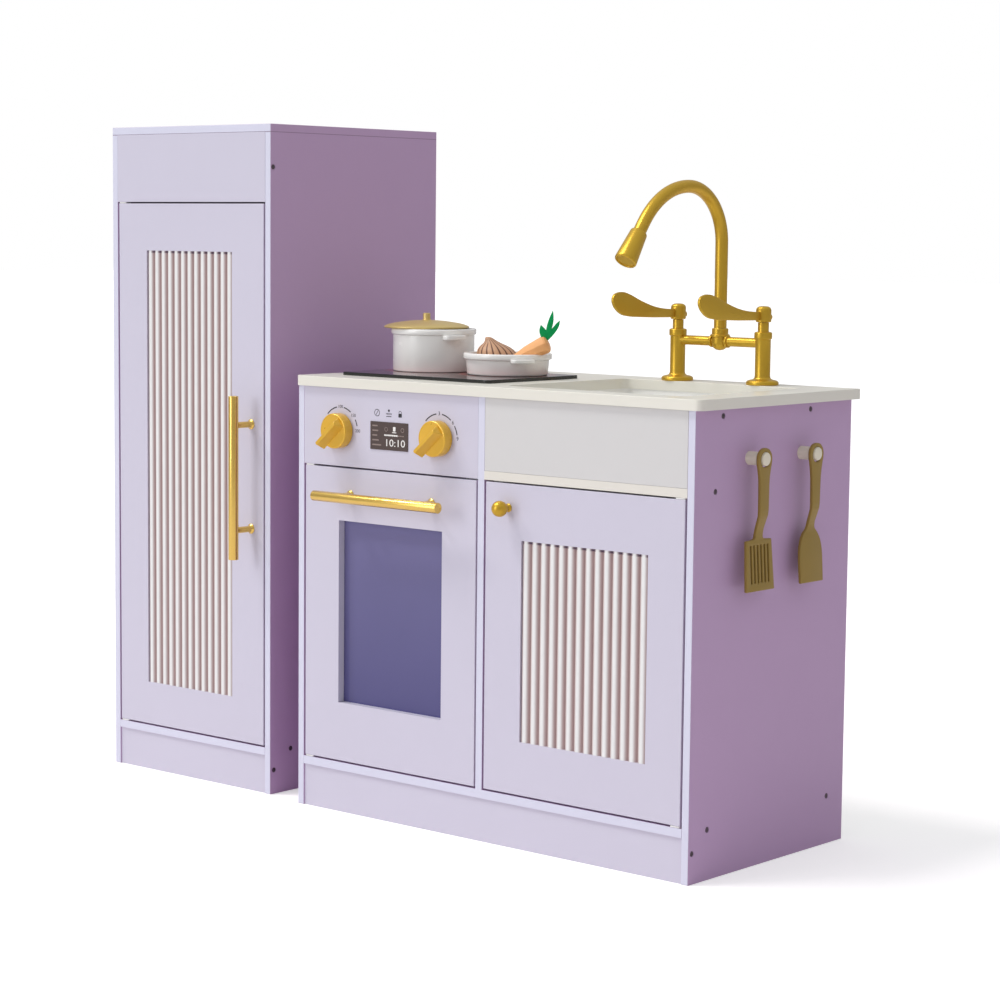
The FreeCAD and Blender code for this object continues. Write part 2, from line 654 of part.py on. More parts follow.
def hung_tool(y, outline):
    """A flat tool from a front outline of (half width, height) pairs, with its hanging hole."""
    x0 = KITCHEN_W
    right = [V(x0, y + half, z) for half, z in outline]
    left = [V(x0, y - half, z) for half, z in reversed(outline)]
    body = prism(right + left, V(PEG_LENGTH, 0, 0))
    hole_z = PEG_Z - (TOOL_HOLE_D - PEG_D) / 2 + FACE_GAP
    ring = rod(TOOL_RING_D, PEG_LENGTH, V(x0, y, hole_z), X_AXIS)
    eye = rod(TOOL_HOLE_D, PEG_LENGTH + 2, V(x0 - 1, y, hole_z), X_AXIS)
    return fuse([body, ring]).cut(eye).common(bent_slab(y - 40, y + 40))


def turner():
    outline = [(8.2, 450), (8.2, 400), (6.6, 376), (10, 371), (26, 369), (28.5, 313.5)]
    tool = hung_tool(TURNER_Y, outline)
    pitch = 7.0
    for i in range(6):
        y = TURNER_Y + (i - 2.5) * pitch
        tool = tool.cut(box(KITCHEN_W, KITCHEN_W + PEG_LENGTH, y - 1.6, y + 1.6, 322, 360))
    return tool


def spatula():
    outline = [(8.0, 450), (7.4, 400), (6.4, 376), (10, 366), (24, 350), (23, 313.5)]
    return hung_tool(SPATULA_Y, outline)


# ---- cookware and vegetables ----
def lugs(x, y, radius, z0, z1, angle):
    """Two flat tab handles on opposite sides of a round vessel."""
    tab = box(radius - 6, radius + 11, -14.5, 14.5, z0, z1)
    tab = tab.makeFillet(6.0, edges_along(tab, Z_AXIS, lambda p: p.x > radius))
    made = []
    for turn in (angle, angle + 180):
        one = tab.copy()
        one.rotate(V(0, 0, 0), Z_AXIS, turn)
        one.translate(V(x, y, 0))
        made.append(one)
    return made


def pot():
    r = POT_D / 2
    rim = POT_RIM_D / 2
    w = POT_WALL
    profile = [
        (0, 0), (r - 1.5, 0), (r, 1.5), (r, POT_H - POT_RIM_H), (rim, POT_H - POT_RIM_H), (rim, POT_H),
        (r - w, POT_H), (r - w, w), (0, w),
    ]
    body = turned(profile, V(POT_X, POT_Y, HOB_Z))
    ears = lugs(POT_X, POT_Y, r, HOB_Z + POT_H - 13, HOB_Z + POT_H - 7.5, -20)
    core = rod(2 * (r - w), POT_H, V(POT_X, POT_Y, HOB_Z + w), Z_AXIS)
    return fuse([body] + ears).cut(core)


def pot_lid():
    z = HOB_Z + POT_H
    profile = [
        (0, 0), (50.5, 0), (52.2, 1), (52, 2.6), (46, 4.8), (36, 7), (24, 8.7), (12, 9.5), (4.6, 9.8),
        (4.6, 19), (3.8, 20), (0, 20),
    ]
    return turned(profile, V(LID_X, LID_Y, z))


def dish():
    foot = DISH_FOOT_D / 2
    r = DISH_D / 2
    rim = DISH_RIM_D / 2
    w = POT_WALL
    low_rim = DISH_H - POT_RIM_H
    profile = [
        (0, 0), (foot - 1.5, 0), (foot, 1.5), (r, low_rim), (rim, low_rim), (rim, DISH_H), (r - w, DISH_H),
        (foot - w, w), (0, w),
    ]
    body = turned(profile, V(DISH_X, DISH_Y, HOB_Z))
    ears = lugs(DISH_X, DISH_Y, r, HOB_Z + low_rim - 5.2, HOB_Z + low_rim, -30)
    core = turned([(0, w), (foot - w, w), (r - w, DISH_H), (0, DISH_H)], V(DISH_X, DISH_Y, HOB_Z))
    return fuse([body] + ears).cut(core)


def onion():
    points = [(0, 0), (10, 0.6), (18.5, 5), (22.5, 14), (20.5, 23), (14.5, 30), (8.5, 35), (4.2, 41), (0, 43)]
    curve = Part.BSplineCurve()
    curve.interpolate([V(r, 0, z) for r, z in points])
    face = Part.Face(Part.Wire([curve.toShape(), Part.makeLine(V(0, 0, 43), V(0, 0, 0))]))
    solid = face.revolve(V(0, 0, 0), Z_AXIS, 360)
    solid.rotate(V(0, 0, 14), V(-0.6, 0.8, 0), -14)
    solid.translate(V(183, 155, HOB_Z + POT_WALL + FACE_GAP - solid.BoundBox.ZMin))
    return solid


CARROT_TIP = V(221, 130, 546.5)
CARROT_CROWN = V(257, 151, 572.5)


def ring_of(centre, axis, radius, sides):
    """A regular polygon wire square to an axis."""
    across = axis.cross(Z_AXIS).normalize()
    up = across.cross(axis).normalize()
    turns = [2 * math.pi * (i + 0.5) / sides for i in range(sides)]
    points = [centre + across * (radius * math.cos(a)) + up * (radius * math.sin(a)) for a in turns]
    return Part.makePolygon(points + [points[0]])


def carrot():
    axis = (CARROT_CROWN - CARROT_TIP).normalize()
    length = (CARROT_CROWN - CARROT_TIP).Length
    stations = [(0, 3.0), (0.08, 5.0), (0.86, 10.8), (1.0, 7.5)]
    wires = [ring_of(CARROT_TIP + axis * (length * at), axis, radius, 8) for at, radius in stations]
    return Part.makeLoft(wires, True, True)


def carrot_leaves():
    """A flat three-pointed tuft on the carrot's crown."""
    axis = (CARROT_CROWN - CARROT_TIP).normalize()
    along = V(axis.x, axis.y, 0).normalize()
    thick = along.cross(Z_AXIS) * 2.5
    outline = [
        (-4, 3), (-6, 12), (-4, 19), (-1, 14), (2, 20), (8, 33), (10, 33), (9.5, 16), (17, 21), (18, 20),
        (10, 6), (3, -1),
    ]
    base = CARROT_CROWN - thick * 0.5
    points = [base + along * a + Z_AXIS * z for a, z in outline]
    return prism(points, thick).cut(carrot())


def save_loose_pieces():
    save("turner", turner())
    save("spatula", spatula())
    save("pot", pot())
    save("pot_lid", pot_lid())
    save("dish", dish())
    save("onion", onion())
    save("carrot", carrot())
    save("carrot_leaves", carrot_leaves())


save_kitchen_unit()
save_fridge_unit()
save_oven_door()
save_cupboard_door()
save_fridge_door()
save_control_knobs()
save_tap()
save_loose_pieces()
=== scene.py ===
import json
import math

import bmesh
import bpy
from bpy.props import FloatProperty, FloatVectorProperty, PointerProperty
from mathutils import Matrix, Vector


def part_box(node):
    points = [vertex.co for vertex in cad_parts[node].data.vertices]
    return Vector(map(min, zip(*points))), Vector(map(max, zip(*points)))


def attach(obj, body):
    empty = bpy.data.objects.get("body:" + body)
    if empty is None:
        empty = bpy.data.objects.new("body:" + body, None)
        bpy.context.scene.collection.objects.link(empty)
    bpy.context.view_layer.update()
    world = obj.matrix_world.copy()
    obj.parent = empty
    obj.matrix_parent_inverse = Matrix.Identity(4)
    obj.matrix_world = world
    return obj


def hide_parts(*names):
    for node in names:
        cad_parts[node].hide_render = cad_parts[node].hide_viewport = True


bl_info = {
    "name": "Toy kitchen",
    "version": (1, 0, 0),
    "blender": (4, 5, 0),
    "location": "3D View > Sidebar > Toy kitchen",
    "description": "Builds the looks of a lilac toy kitchen and fridge around its CAD frame",
    "category": "Object",
}

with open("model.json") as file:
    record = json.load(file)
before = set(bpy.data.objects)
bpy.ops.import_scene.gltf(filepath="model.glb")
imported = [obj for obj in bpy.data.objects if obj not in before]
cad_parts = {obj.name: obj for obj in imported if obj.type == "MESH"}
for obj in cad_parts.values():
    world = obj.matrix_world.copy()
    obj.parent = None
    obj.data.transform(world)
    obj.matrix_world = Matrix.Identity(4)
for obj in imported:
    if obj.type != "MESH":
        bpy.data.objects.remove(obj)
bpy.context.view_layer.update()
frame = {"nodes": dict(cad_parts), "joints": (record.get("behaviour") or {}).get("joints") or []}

MM = 0.001
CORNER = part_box("kitchen_left_side")[0]
PIVOTS = {joint["name"]: Vector(joint["pos_m"]) for joint in frame["joints"] if "pos_m" in joint}
UP = Vector((0, 0, 1))
FRONT = Vector((0, -1, 0))
ALONG = Vector((1, 0, 0))
COUNTER_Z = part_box("countertop")[1].z
HOB_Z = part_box("hob_plate")[1].z


def from_corner(x, y, z):
    """A point in millimetres from the kitchen's front left bottom corner, in the shared frame."""
    return Vector((CORNER.x + x * MM, CORNER.y + y * MM, z * MM))


def middle(node):
    low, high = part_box(node)
    return (low + high) / 2


# ---- sizes and colours that a user may change ----
class ToyKitchenColours(bpy.types.PropertyGroup):
    def colour(title, value):
        return FloatVectorProperty(
            name=title, description=title + ", as linear red, green and blue",
            default=value, min=0.0, max=1.0, size=3, subtype="COLOR",
        )

    lilac: colour("Door paint", (0.605, 0.585, 0.69))
    # Painted shade: a deeper copy of the door lilac, used on the side boards and the inside parts
    lilac_shaded: colour("Side board paint", (0.515, 0.352, 0.555))
    # Paler lilac for the front-facing edges: painted sheen of the front light
    front_edge_sheen: colour("Edge banding", (0.67, 0.675, 0.80))
    white: colour("White front paint", (0.645, 0.64, 0.63))
    rail: colour("Cream rail paint", (0.755, 0.73, 0.66))
    worktop: colour("Worktop paint", (0.78, 0.765, 0.68))
    gold: colour("Gold plating", (0.84, 0.57, 0.13))
    gold_moulded: colour("Gold moulded parts", (0.62, 0.385, 0.035))
    dial: colour("Dial gold", (0.78, 0.46, 0.035))
    utensil: colour("Utensil paint", (0.32, 0.215, 0.045))
    cookware: colour("Cookware white", (0.93, 0.92, 0.89))


class ToyKitchenSizes(bpy.types.PropertyGroup):
    bar: FloatProperty(
        name="Handle bar", description="Diameter of the bar handles",
        default=12.5 * MM, min=8 * MM, max=12.5 * MM, unit="LENGTH",
    )
    spout: FloatProperty(
        name="Spout tube", description="Diameter of the tap's spout",
        default=15 * MM, min=10 * MM, max=15 * MM, unit="LENGTH",
    )
    print_lift: FloatProperty(
        name="Print thickness", description="How far printed marks stand off their panel",
        default=0.12 * MM, min=0.05 * MM, max=0.4 * MM, unit="LENGTH",
    )


# ---- modelling steps ----
def deselect():
    if bpy.context.object and bpy.context.object.mode != "OBJECT":
        bpy.ops.object.mode_set(mode="OBJECT")
    bpy.ops.object.select_all(action="DESELECT")


def only(obj):
    deselect()
    obj.select_set(True)
    bpy.context.view_layer.objects.active = obj


def pick(obj, kind, test):
    """Opens a piece for editing with the faces, edges or vertices that pass a test selected."""
    only(obj)
    bpy.ops.object.mode_set(mode="EDIT")
    bpy.ops.mesh.select_mode(type=kind)
    bpy.ops.mesh.select_all(action="DESELECT")
    shape = bmesh.from_edit_mesh(obj.data)
    parts = {"FACE": shape.faces, "EDGE": shape.edges, "VERT": shape.verts}[kind]
    for part in parts:
        if test(part):
            part.select_set(True)
    bmesh.update_edit_mesh(obj.data)


def close_up(obj):
    """Merges doubles, caps open rims and turns every face outwards."""
    only(obj)
    bpy.ops.object.mode_set(mode="EDIT")
    bpy.ops.mesh.select_mode(type="VERT")
    bpy.ops.mesh.select_all(action="SELECT")
    bpy.ops.mesh.remove_doubles(threshold=0.004 * MM)
    bpy.ops.mesh.select_all(action="DESELECT")
    bpy.ops.mesh.select_non_manifold()
    bpy.ops.mesh.fill_holes(sides=0)
    bpy.ops.mesh.select_all(action="SELECT")
    bpy.ops.mesh.normals_make_consistent(inside=False)
    bpy.ops.object.mode_set(mode="OBJECT")


def modifier(obj, kind, **values):
    """Adds a modifier, sets it and applies it."""
    only(obj)
    made = obj.modifiers.new(kind.title(), kind)
    for key, value in values.items():
        setattr(made, key, value)
    bpy.ops.object.modifier_apply(modifier=made.name)


def soften(obj, width, angle=30):
    """Rounds the edges sharper than an angle."""
    modifier(
        obj, "BEVEL", width=width * MM, segments=3, limit_method="ANGLE",
        angle_limit=math.radians(angle), use_clamp_overlap=True,
    )


def smooth(obj, angle=40):
    only(obj)
    bpy.ops.object.shade_smooth_by_angle(angle=math.radians(angle))


def place(obj, where, axis=UP, turn=0.0):
    """Turns a piece about its own Z, points that Z along an axis, moves it and applies it all."""
    pointed = UP.rotation_difference(axis).to_matrix().to_4x4()
    obj.matrix_world = Matrix.Translation(where) @ pointed @ Matrix.Rotation(turn, 4, "Z")
    only(obj)
    bpy.ops.object.transform_apply(location=True, rotation=True, scale=True)
    return obj


def turned(name, profile, segments=64, soft=0.0):
    """A round piece drawn up ring by ring about Z from (radius, height) in millimetres."""
    deselect()
    radius, height = profile[0]
    foot = (0, 0, height * MM)
    bpy.ops.mesh.primitive_circle_add(vertices=segments, radius=radius * MM, location=foot)
    obj = bpy.context.object
    obj.name = name
    bpy.ops.object.transform_apply(location=True, rotation=True, scale=True)
    bpy.ops.object.mode_set(mode="EDIT")
    bpy.ops.mesh.select_all(action="SELECT")
    for next_radius, next_height in profile[1:]:
        rise = (0, 0, (next_height - height) * MM)
        bpy.ops.mesh.extrude_edges_move(TRANSFORM_OT_translate={"value": rise})
        spread = next_radius / radius
        if spread != 1:
            bpy.ops.transform.resize(value=(spread, spread, 1), center_override=(0, 0, 0))
        radius, height = next_radius, next_height
    bpy.ops.object.mode_set(mode="OBJECT")
    close_up(obj)
    if soft:
        soften(obj, soft)
    smooth(obj)
    return obj


def block(name, size):
    """A block of a size in millimetres about the origin, to be shaped further."""
    deselect()
    bpy.ops.mesh.primitive_cube_add(size=1, location=(0, 0, 0))
    obj = bpy.context.object
    obj.name = name
    obj.scale = [side * MM for side in size]
    bpy.ops.object.transform_apply(location=True, rotation=True, scale=True)
    smooth(obj)
    return obj


def cut_out(name, loops, thickness, rounding=0.0, fineness=6):
    """A flat piece cut to closed outlines in millimetres. Loops after the first are holes, and
    a point ending in True is a corner. It lies in XY, centred on its thickness, as a mesh."""
    deselect()
    bpy.ops.curve.primitive_bezier_circle_add(location=(0, 0, 0))
    obj = bpy.context.object
    obj.name = name
    curve = obj.data
    curve.splines.clear()
    curve.dimensions = "2D"
    curve.fill_mode = "BOTH"
    curve.resolution_u = fineness
    curve.extrude = max(thickness / 2 - rounding, 0.001) * MM
    curve.bevel_depth = rounding * MM
    curve.bevel_resolution = 2
    curve.offset = -rounding * MM
    for loop in loops:
        spline = curve.splines.new("BEZIER")
        spline.bezier_points.add(len(loop) - 1)
        spline.use_cyclic_u = True
        for knot, point in zip(spline.bezier_points, loop):
            knot.co = (point[0] * MM, point[1] * MM, 0)
            kind = "VECTOR" if len(point) > 2 and point[2] else "AUTO"
            knot.handle_left_type = kind
            knot.handle_right_type = kind
    only(obj)
    bpy.ops.object.convert(target="MESH")
    obj = bpy.context.object
    close_up(obj)
    return obj


def ring_points(radius, count, centre=(0, 0)):
    """Knots of a circle, for cut_out."""
    steps = [2 * math.pi * i / count for i in range(count)]
    return [(centre[0] + radius * math.cos(a), centre[1] + radius * math.sin(a)) for a in steps]


def rounded_rectangle(x0, x1, y0, y1, r):
    """Outline of a rectangle with rounded corners, as knots for cut_out."""
    k = 0.3 * r
    corners = [(x1, y0, 1, -1), (x1, y1, 1, 1), (x0, y1, -1, 1), (x0, y0, -1, -1)]
    knots = []
    for x, y, sx, sy in corners:
        first = (x, y - sy * r, True) if sx * sy > 0 else (x - sx * r, y, True)
        last = (x - sx * r, y, True) if sx * sy > 0 else (x, y - sy * r, True)
        knots += [first, (x - sx * k, y - sy * k, True), last]
    return knots


def joined(name, pieces):
    only(pieces[0])
    for piece in pieces[1:]:
        piece.select_set(True)
    if len(pieces) > 1:
        bpy.ops.object.join()
    obj = bpy.context.object
    obj.name = name
    return obj


def copied(obj, name):
    twin = obj.copy()
    twin.data = obj.data.copy()
    twin.name = name
    bpy.context.scene.collection.objects.link(twin)
    return twin


def settle(obj, body, slot, *nodes, finish=None):
    """Paints a finished piece, hangs it on its body and hides the CAD nodes it stands for."""
    obj.data.materials.clear()
    obj.data.materials.append(FINISHES[finish or slot])
    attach(obj, body)
    if nodes:
        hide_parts(*nodes)
    return obj


# ---- finishes ----
FINISHES = {}
GROUPS = {}


def link(tree, start, end):
    tree.links.new(start, end)


def node(tree, kind, **values):
    made = tree.nodes.new(kind)
    for key, value in values.items():
        setattr(made, key, value)
    return made


def math_node(tree, operation, first, second=None):
    made = node(tree, "ShaderNodeMath", operation=operation)
    for socket, value in zip(made.inputs, (first, second)):
        if value is None:
            continue
        if isinstance(value, (int, float)):
            socket.default_value = value
        else:
            link(tree, value, socket)
    return made.outputs[0]


def new_group(name, settings, result):
    """A node group that reads a vector and some numbers and puts out one number."""
    tree = bpy.data.node_groups.new(name, "ShaderNodeTree")
    tree.interface.new_socket("Vector", in_out="INPUT", socket_type="NodeSocketVector")
    for title in settings:
        tree.interface.new_socket(title, in_out="INPUT", socket_type="NodeSocketFloat")
    tree.interface.new_socket(result, in_out="OUTPUT", socket_type="NodeSocketFloat")
    GROUPS[name] = tree
    return tree, node(tree, "NodeGroupInput"), node(tree, "NodeGroupOutput")


def noise(tree, vector, scale, detail=3.0, rough=0.5):
    made = node(tree, "ShaderNodeTexNoise")
    made.inputs["Detail"].default_value = detail
    made.inputs["Roughness"].default_value = rough
    link(tree, vector, made.inputs["Vector"])
    if isinstance(scale, (int, float)):
        made.inputs["Scale"].default_value = scale
    else:
        link(tree, scale, made.inputs["Scale"])
    return made.outputs["Fac"]


def make_groups():
    """Cloudy tone, fine skin and handling marks, which most of the finishes share."""
    tree, given, result = new_group("cloudy_tone", ["Scale"], "Tone")
    wide = noise(tree, given.outputs["Vector"], given.outputs["Scale"], 2.0)
    fine_scale = math_node(tree, "MULTIPLY", given.outputs["Scale"], 9.0)
    fine = noise(tree, given.outputs["Vector"], fine_scale)
    most, rest = math_node(tree, "MULTIPLY", wide, 0.7), math_node(tree, "MULTIPLY", fine, 0.3)
    link(tree, math_node(tree, "ADD", most, rest), result.inputs["Tone"])

    tree, given, result = new_group("fine_skin", ["Scale", "Ripple"], "Height")
    skin = noise(tree, given.outputs["Vector"], given.outputs["Scale"], 2.0, 0.6)
    ripple = noise(tree, given.outputs["Vector"], 26.0, 1.0)
    waves = math_node(tree, "MULTIPLY", ripple, given.outputs["Ripple"])
    link(tree, math_node(tree, "ADD", skin, waves), result.inputs["Height"])

    tree, given, result = new_group("handling_marks", ["Low", "High"], "Roughness")
    smears = noise(tree, given.outputs["Vector"], 14.0, 4.0, 0.65)
    span = node(tree, "ShaderNodeMapRange")
    span.inputs["From Min"].default_value = 0.3
    span.inputs["From Max"].default_value = 0.7
    link(tree, smears, span.inputs["Value"])
    link(tree, given.outputs["Low"], span.inputs["To Min"])
    link(tree, given.outputs["High"], span.inputs["To Max"])
    link(tree, span.outputs["Result"], result.inputs["Roughness"])


def use_group(tree, name, vector, **values):
    made = node(tree, "ShaderNodeGroup")
    made.node_tree = GROUPS[name]
    link(tree, vector, made.inputs["Vector"])
    for key, value in values.items():
        made.inputs[key].default_value = value
    return made.outputs[0]


def blend_colours(tree, factor, first, second):
    """Mixes two colours; each is a tuple or another node's output."""
    made = node(tree, "ShaderNodeMix", data_type="RGBA")
    link(tree, factor, made.inputs[0])
    for socket, value in ((made.inputs[6], first), (made.inputs[7], second)):
        if isinstance(value, tuple):
            socket.default_value = (*value, 1)
        else:
            link(tree, value, socket)
    return made.outputs[2]


def shade(colour, factor):
    return tuple(min(1.0, channel * factor) for channel in colour)


class Finish:
    """One material: toned base colour, handled roughness and a fine skin, on Object coordinates."""

    def __init__(self, name, colour, rough=(0.4, 0.5), tone=6.0, spread=0.03, skin=900.0,
                 depth=0.03, ripple=0.0, stretch=(1, 1, 1), **constants):
        material = bpy.data.materials.new(name + "_finish")
        material.use_nodes = True
        self.tree = tree = material.node_tree
        self.shader = next(n for n in tree.nodes if n.type == "BSDF_PRINCIPLED")
        place_node = node(tree, "ShaderNodeTexCoord")
        mapping = node(tree, "ShaderNodeMapping")
        mapping.inputs["Scale"].default_value = stretch
        link(tree, place_node.outputs["Object"], mapping.inputs["Vector"])
        self.raw = place_node.outputs["Object"]
        self.vector = mapping.outputs["Vector"]
        cloud = use_group(tree, "cloudy_tone", self.vector, Scale=tone)
        darker, lighter = shade(colour, 1 - spread), shade(colour, 1 + spread)
        self.colour = blend_colours(tree, cloud, darker, lighter)
        link(tree, self.colour, self.shader.inputs["Base Color"])
        marks = use_group(tree, "handling_marks", self.raw, Low=rough[0], High=rough[1])
        link(tree, marks, self.shader.inputs["Roughness"])
        if depth:
            height = use_group(tree, "fine_skin", self.vector, Scale=skin, Ripple=ripple)
            bump = node(tree, "ShaderNodeBump")
            bump.inputs["Distance"].default_value = depth * MM
            link(tree, height, bump.inputs["Height"])
            link(tree, bump.outputs["Normal"], self.shader.inputs["Normal"])
        for key, value in constants.items():
            self.shader.inputs[key.replace("_", " ")].default_value = value
        FINISHES[name] = material

    def paint_over(self, mask, colour):
        """Lays another colour over the base where a mask is 1."""
        self.colour = blend_colours(self.tree, mask, self.colour, colour)
        link(self.tree, self.colour, self.shader.inputs["Base Color"])

    def axis(self, name):
        split = node(self.tree, "ShaderNodeSeparateXYZ")
        link(self.tree, self.raw, split.inputs[0])
        return split.outputs[name]


def edged_board(name, colour, front_edge_sheen, front_y, seam_z=None):
    """Side board paint, a deeper copy of the door lilac as painted shade, with painted sheen as a
    paler band on the front edge and a dark line of painted shade along the joint under a top board.
    """
    sheen_band_depth, seam_half_width, joint_shade_tone = 0.25 * MM, 0.4 * MM, 0.55
    made = Finish(name, colour, rough=(0.40, 0.48), spread=0.02, depth=0.02, ripple=0.4)
    # The front-facing edge face is painted paler: painted sheen
    on_edge = math_node(made.tree, "LESS_THAN", made.axis("Y"), front_y + sheen_band_depth)
    made.paint_over(on_edge, front_edge_sheen)
    # A dark line along the joint under a top board: painted shade of the gap between the boards
    if seam_z:
        above = math_node(made.tree, "SUBTRACT", made.axis("Z"), seam_z)
        off_seam = math_node(made.tree, "ABSOLUTE", above)
        joint_shade = math_node(made.tree, "LESS_THAN", off_seam, seam_half_width)
        made.paint_over(joint_shade, shade(colour, joint_shade_tone))


def fluted(name, panel, reeds, lap):
    """Pale reeds with taupe grooves between them, and a painted shadow in the grooves under the
    door's lip.
    """
    groove_paint, lip_shadow, lip_depth = (0.44, 0.315, 0.305), (0.12, 0.07, 0.11), 3 * MM
    low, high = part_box(panel)
    pitch = (high.x - low.x - 2 * lap) / reeds
    made = Finish(name, (0.82, 0.83, 0.815), rough=(0.35, 0.45), tone=20, skin=1200, depth=0.01)
    tree = made.tree
    along = math_node(tree, "SUBTRACT", made.axis("X"), low.x + lap)
    phase = math_node(tree, "DIVIDE", along, pitch)
    across = math_node(tree, "SUBTRACT", math_node(tree, "FRACT", phase), 0.5)
    off_crest = math_node(tree, "ABSOLUTE", across)
    groove = node(tree, "ShaderNodeMapRange", interpolation_type="SMOOTHSTEP")
    groove.inputs["From Min"].default_value = 0.07
    groove.inputs["From Max"].default_value = 0.42
    link(tree, off_crest, groove.inputs["Value"])
    made.paint_over(groove.outputs["Result"], groove_paint)
    # Painted shadow of the door's lip in the grooves near the panel's top
    under_lip = math_node(tree, "GREATER_THAN", made.axis("Z"), high.z - lap - lip_depth)
    shadow = math_node(tree, "MULTIPLY", under_lip, groove.outputs["Result"])
    made.paint_over(shadow, lip_shadow)


def onion_finish():
    """Terracotta, with dark skin lines from the onion's own attribute."""
    made = Finish("onion_paint", (0.60, 0.345, 0.20), rough=(0.42, 0.52), tone=40, spread=0.08,
                  depth=0.02)
    line = node(made.tree, "ShaderNodeAttribute", attribute_name="skin_line")
    made.paint_over(line.outputs["Fac"], (0.11, 0.035, 0.015))


def hob_finish():
    """Gloss black with a thin red ring round each cooking zone."""
    ring_radius, ring_half_width, ring_red = 55 * MM, 4.5 * MM, (0.30, 0.035, 0.03)
    made = Finish("hob_gloss", (0.012, 0.013, 0.012), rough=(0.06, 0.10), depth=0,
                  Specular_IOR_Level=0.5)
    tree = made.tree
    for zone in ("pot", "dish"):
        centre = middle(zone)
        away = node(tree, "ShaderNodeVectorMath", operation="DISTANCE")
        link(tree, made.raw, away.inputs[0])
        away.inputs[1].default_value = (centre.x, centre.y, HOB_Z)
        outside = math_node(tree, "SUBTRACT", away.outputs["Value"], ring_radius)
        gap = math_node(tree, "ABSOLUTE", outside)
        made.paint_over(math_node(tree, "LESS_THAN", gap, ring_half_width), ring_red)


def window_finish():
    """Tinted sheet with painted light that pales it towards its top."""
    made = Finish("window_acrylic", (0.090, 0.085, 0.225), rough=(0.10, 0.20), tone=3, spread=0.10,
                  skin=7.0, depth=0.5, Alpha=0.93, Specular_IOR_Level=0.35)
    rise = node(made.tree, "ShaderNodeMapRange")
    low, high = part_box("oven_window")
    rise.inputs["From Min"].default_value = low.z
    rise.inputs["From Max"].default_value = high.z
    link(made.tree, made.axis("Z"), rise.inputs["Value"])
    # Painted light: the sheet is made paler towards its top
    painted_light_rise = math_node(made.tree, "MULTIPLY", rise.outputs["Result"], 0.8)
    made.paint_over(painted_light_rise, (0.205, 0.19, 0.365))


def make_finishes(colours):
    """Every material of the kitchen, by the name of its finish."""
    make_groups()
    lilac, shaded_lilac, front_edge_sheen = (tuple(c) for c in (colours.lilac, colours.lilac_shaded, colours.front_edge_sheen))
    gold, moulded = tuple(colours.gold), tuple(colours.gold_moulded)
    Finish("lilac_paint", lilac, rough=(0.42, 0.50), spread=0.02, depth=0.02, ripple=0.4)
    # The side boards and the inside parts take the deeper lilac, a copy of the door paint darkened
    # as painted shade
    edged_board("lilac_kitchen_boards", shaded_lilac, front_edge_sheen, CORNER.y)
    fridge_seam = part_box("fridge_top")[0].z
    edged_board("lilac_fridge_boards", shaded_lilac, front_edge_sheen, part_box("fridge_left_side")[0].y, fridge_seam)
    Finish("lilac_inside", shaded_lilac, rough=(0.45, 0.55), spread=0.03)
    Finish("white_paint", tuple(colours.white), rough=(0.38, 0.46), spread=0.015, depth=0.02,
           ripple=0.4)
    Finish("rail_paint", tuple(colours.rail), rough=(0.38, 0.46), spread=0.015, depth=0.02,
           ripple=0.4)
    Finish("white_hardboard", (0.74, 0.72, 0.69), rough=(0.55, 0.7), spread=0.04, skin=600,
           depth=0.06)
    Finish("counter_paint", tuple(colours.worktop), rough=(0.31, 0.34), spread=0.006, depth=0.006,
           ripple=0.1)
    Finish("basin_plastic", (0.90, 0.90, 0.87), rough=(0.30, 0.40), spread=0.01, skin=1500,
           depth=0.01)
    Finish("display_print", (0.085, 0.06, 0.055), rough=(0.12, 0.2), spread=0.08, depth=0.0)
    Finish("panel_ink", (0.016, 0.016, 0.022), rough=(0.4, 0.5), tone=60, spread=0.1, depth=0.0)
    Finish("display_glow", (0.88, 0.87, 0.84), rough=(0.3, 0.4), tone=80, spread=0.03, depth=0.0)
    Finish("display_dim", (0.26, 0.20, 0.18), rough=(0.3, 0.4), tone=80, spread=0.06, depth=0.0)
    Finish("gold_metal", gold, rough=(0.26, 0.275), tone=30, spread=0.015, depth=0, Metallic=1.0,
           Coat_Weight=0.5, Coat_Roughness=0.12)
    Finish("gold_plastic", moulded, rough=(0.33, 0.37), tone=18, spread=0.04, skin=1800,
           depth=0.002, Metallic=0.7)
    Finish("dial_gold", tuple(colours.dial), rough=(0.26, 0.32), tone=25, spread=0.04, skin=1500,
           depth=0.003, Metallic=0.3, Coat_Weight=0.4, Coat_Roughness=0.15)
    Finish("steel", (0.30, 0.29, 0.28), rough=(0.25, 0.4), tone=200, spread=0.1, depth=0.01,
           Metallic=1.0)
    Finish("board_screws", (0.15, 0.12, 0.14), rough=(0.3, 0.42), tone=200, spread=0.15,
           depth=0.01, Metallic=0.9)
    Finish("magnet_case", (0.82, 0.82, 0.80), rough=(0.35, 0.5), tone=60)
    Finish("peg_wood", (0.80, 0.75, 0.60), rough=(0.5, 0.6), tone=60, spread=0.07, skin=500,
           depth=0.06, stretch=(0.15, 1, 1))
    Finish("utensil_paint", tuple(colours.utensil), rough=(0.40, 0.5), tone=30, spread=0.05,
           skin=1200, depth=0.015, Metallic=0.2)
    Finish("cookware_white", tuple(colours.cookware), rough=(0.18, 0.28), tone=20, spread=0.012,
           skin=1500, depth=0.006, Coat_Weight=0.2)
    Finish("lid_gold", (0.70, 0.53, 0.20), rough=(0.34, 0.44), tone=25, spread=0.04, depth=0.012,
           Metallic=0.45)
    Finish("carrot_paint", (0.95, 0.46, 0.18), rough=(0.42, 0.5), tone=35, spread=0.10, depth=0.02,
           stretch=(1, 1, 3))
    Finish("leaf_felt", (0.004, 0.36, 0.10), rough=(0.8, 0.92), tone=150, spread=0.2, skin=2200,
           depth=0.1, Specular_IOR_Level=0.2)
    fluted("cupboard_flutes", "cupboard_fluted_panel", 14, 8 * MM)
    fluted("fridge_flutes", "fridge_fluted_panel", 13, 8 * MM)
    onion_finish()
    hob_finish()
    window_finish()


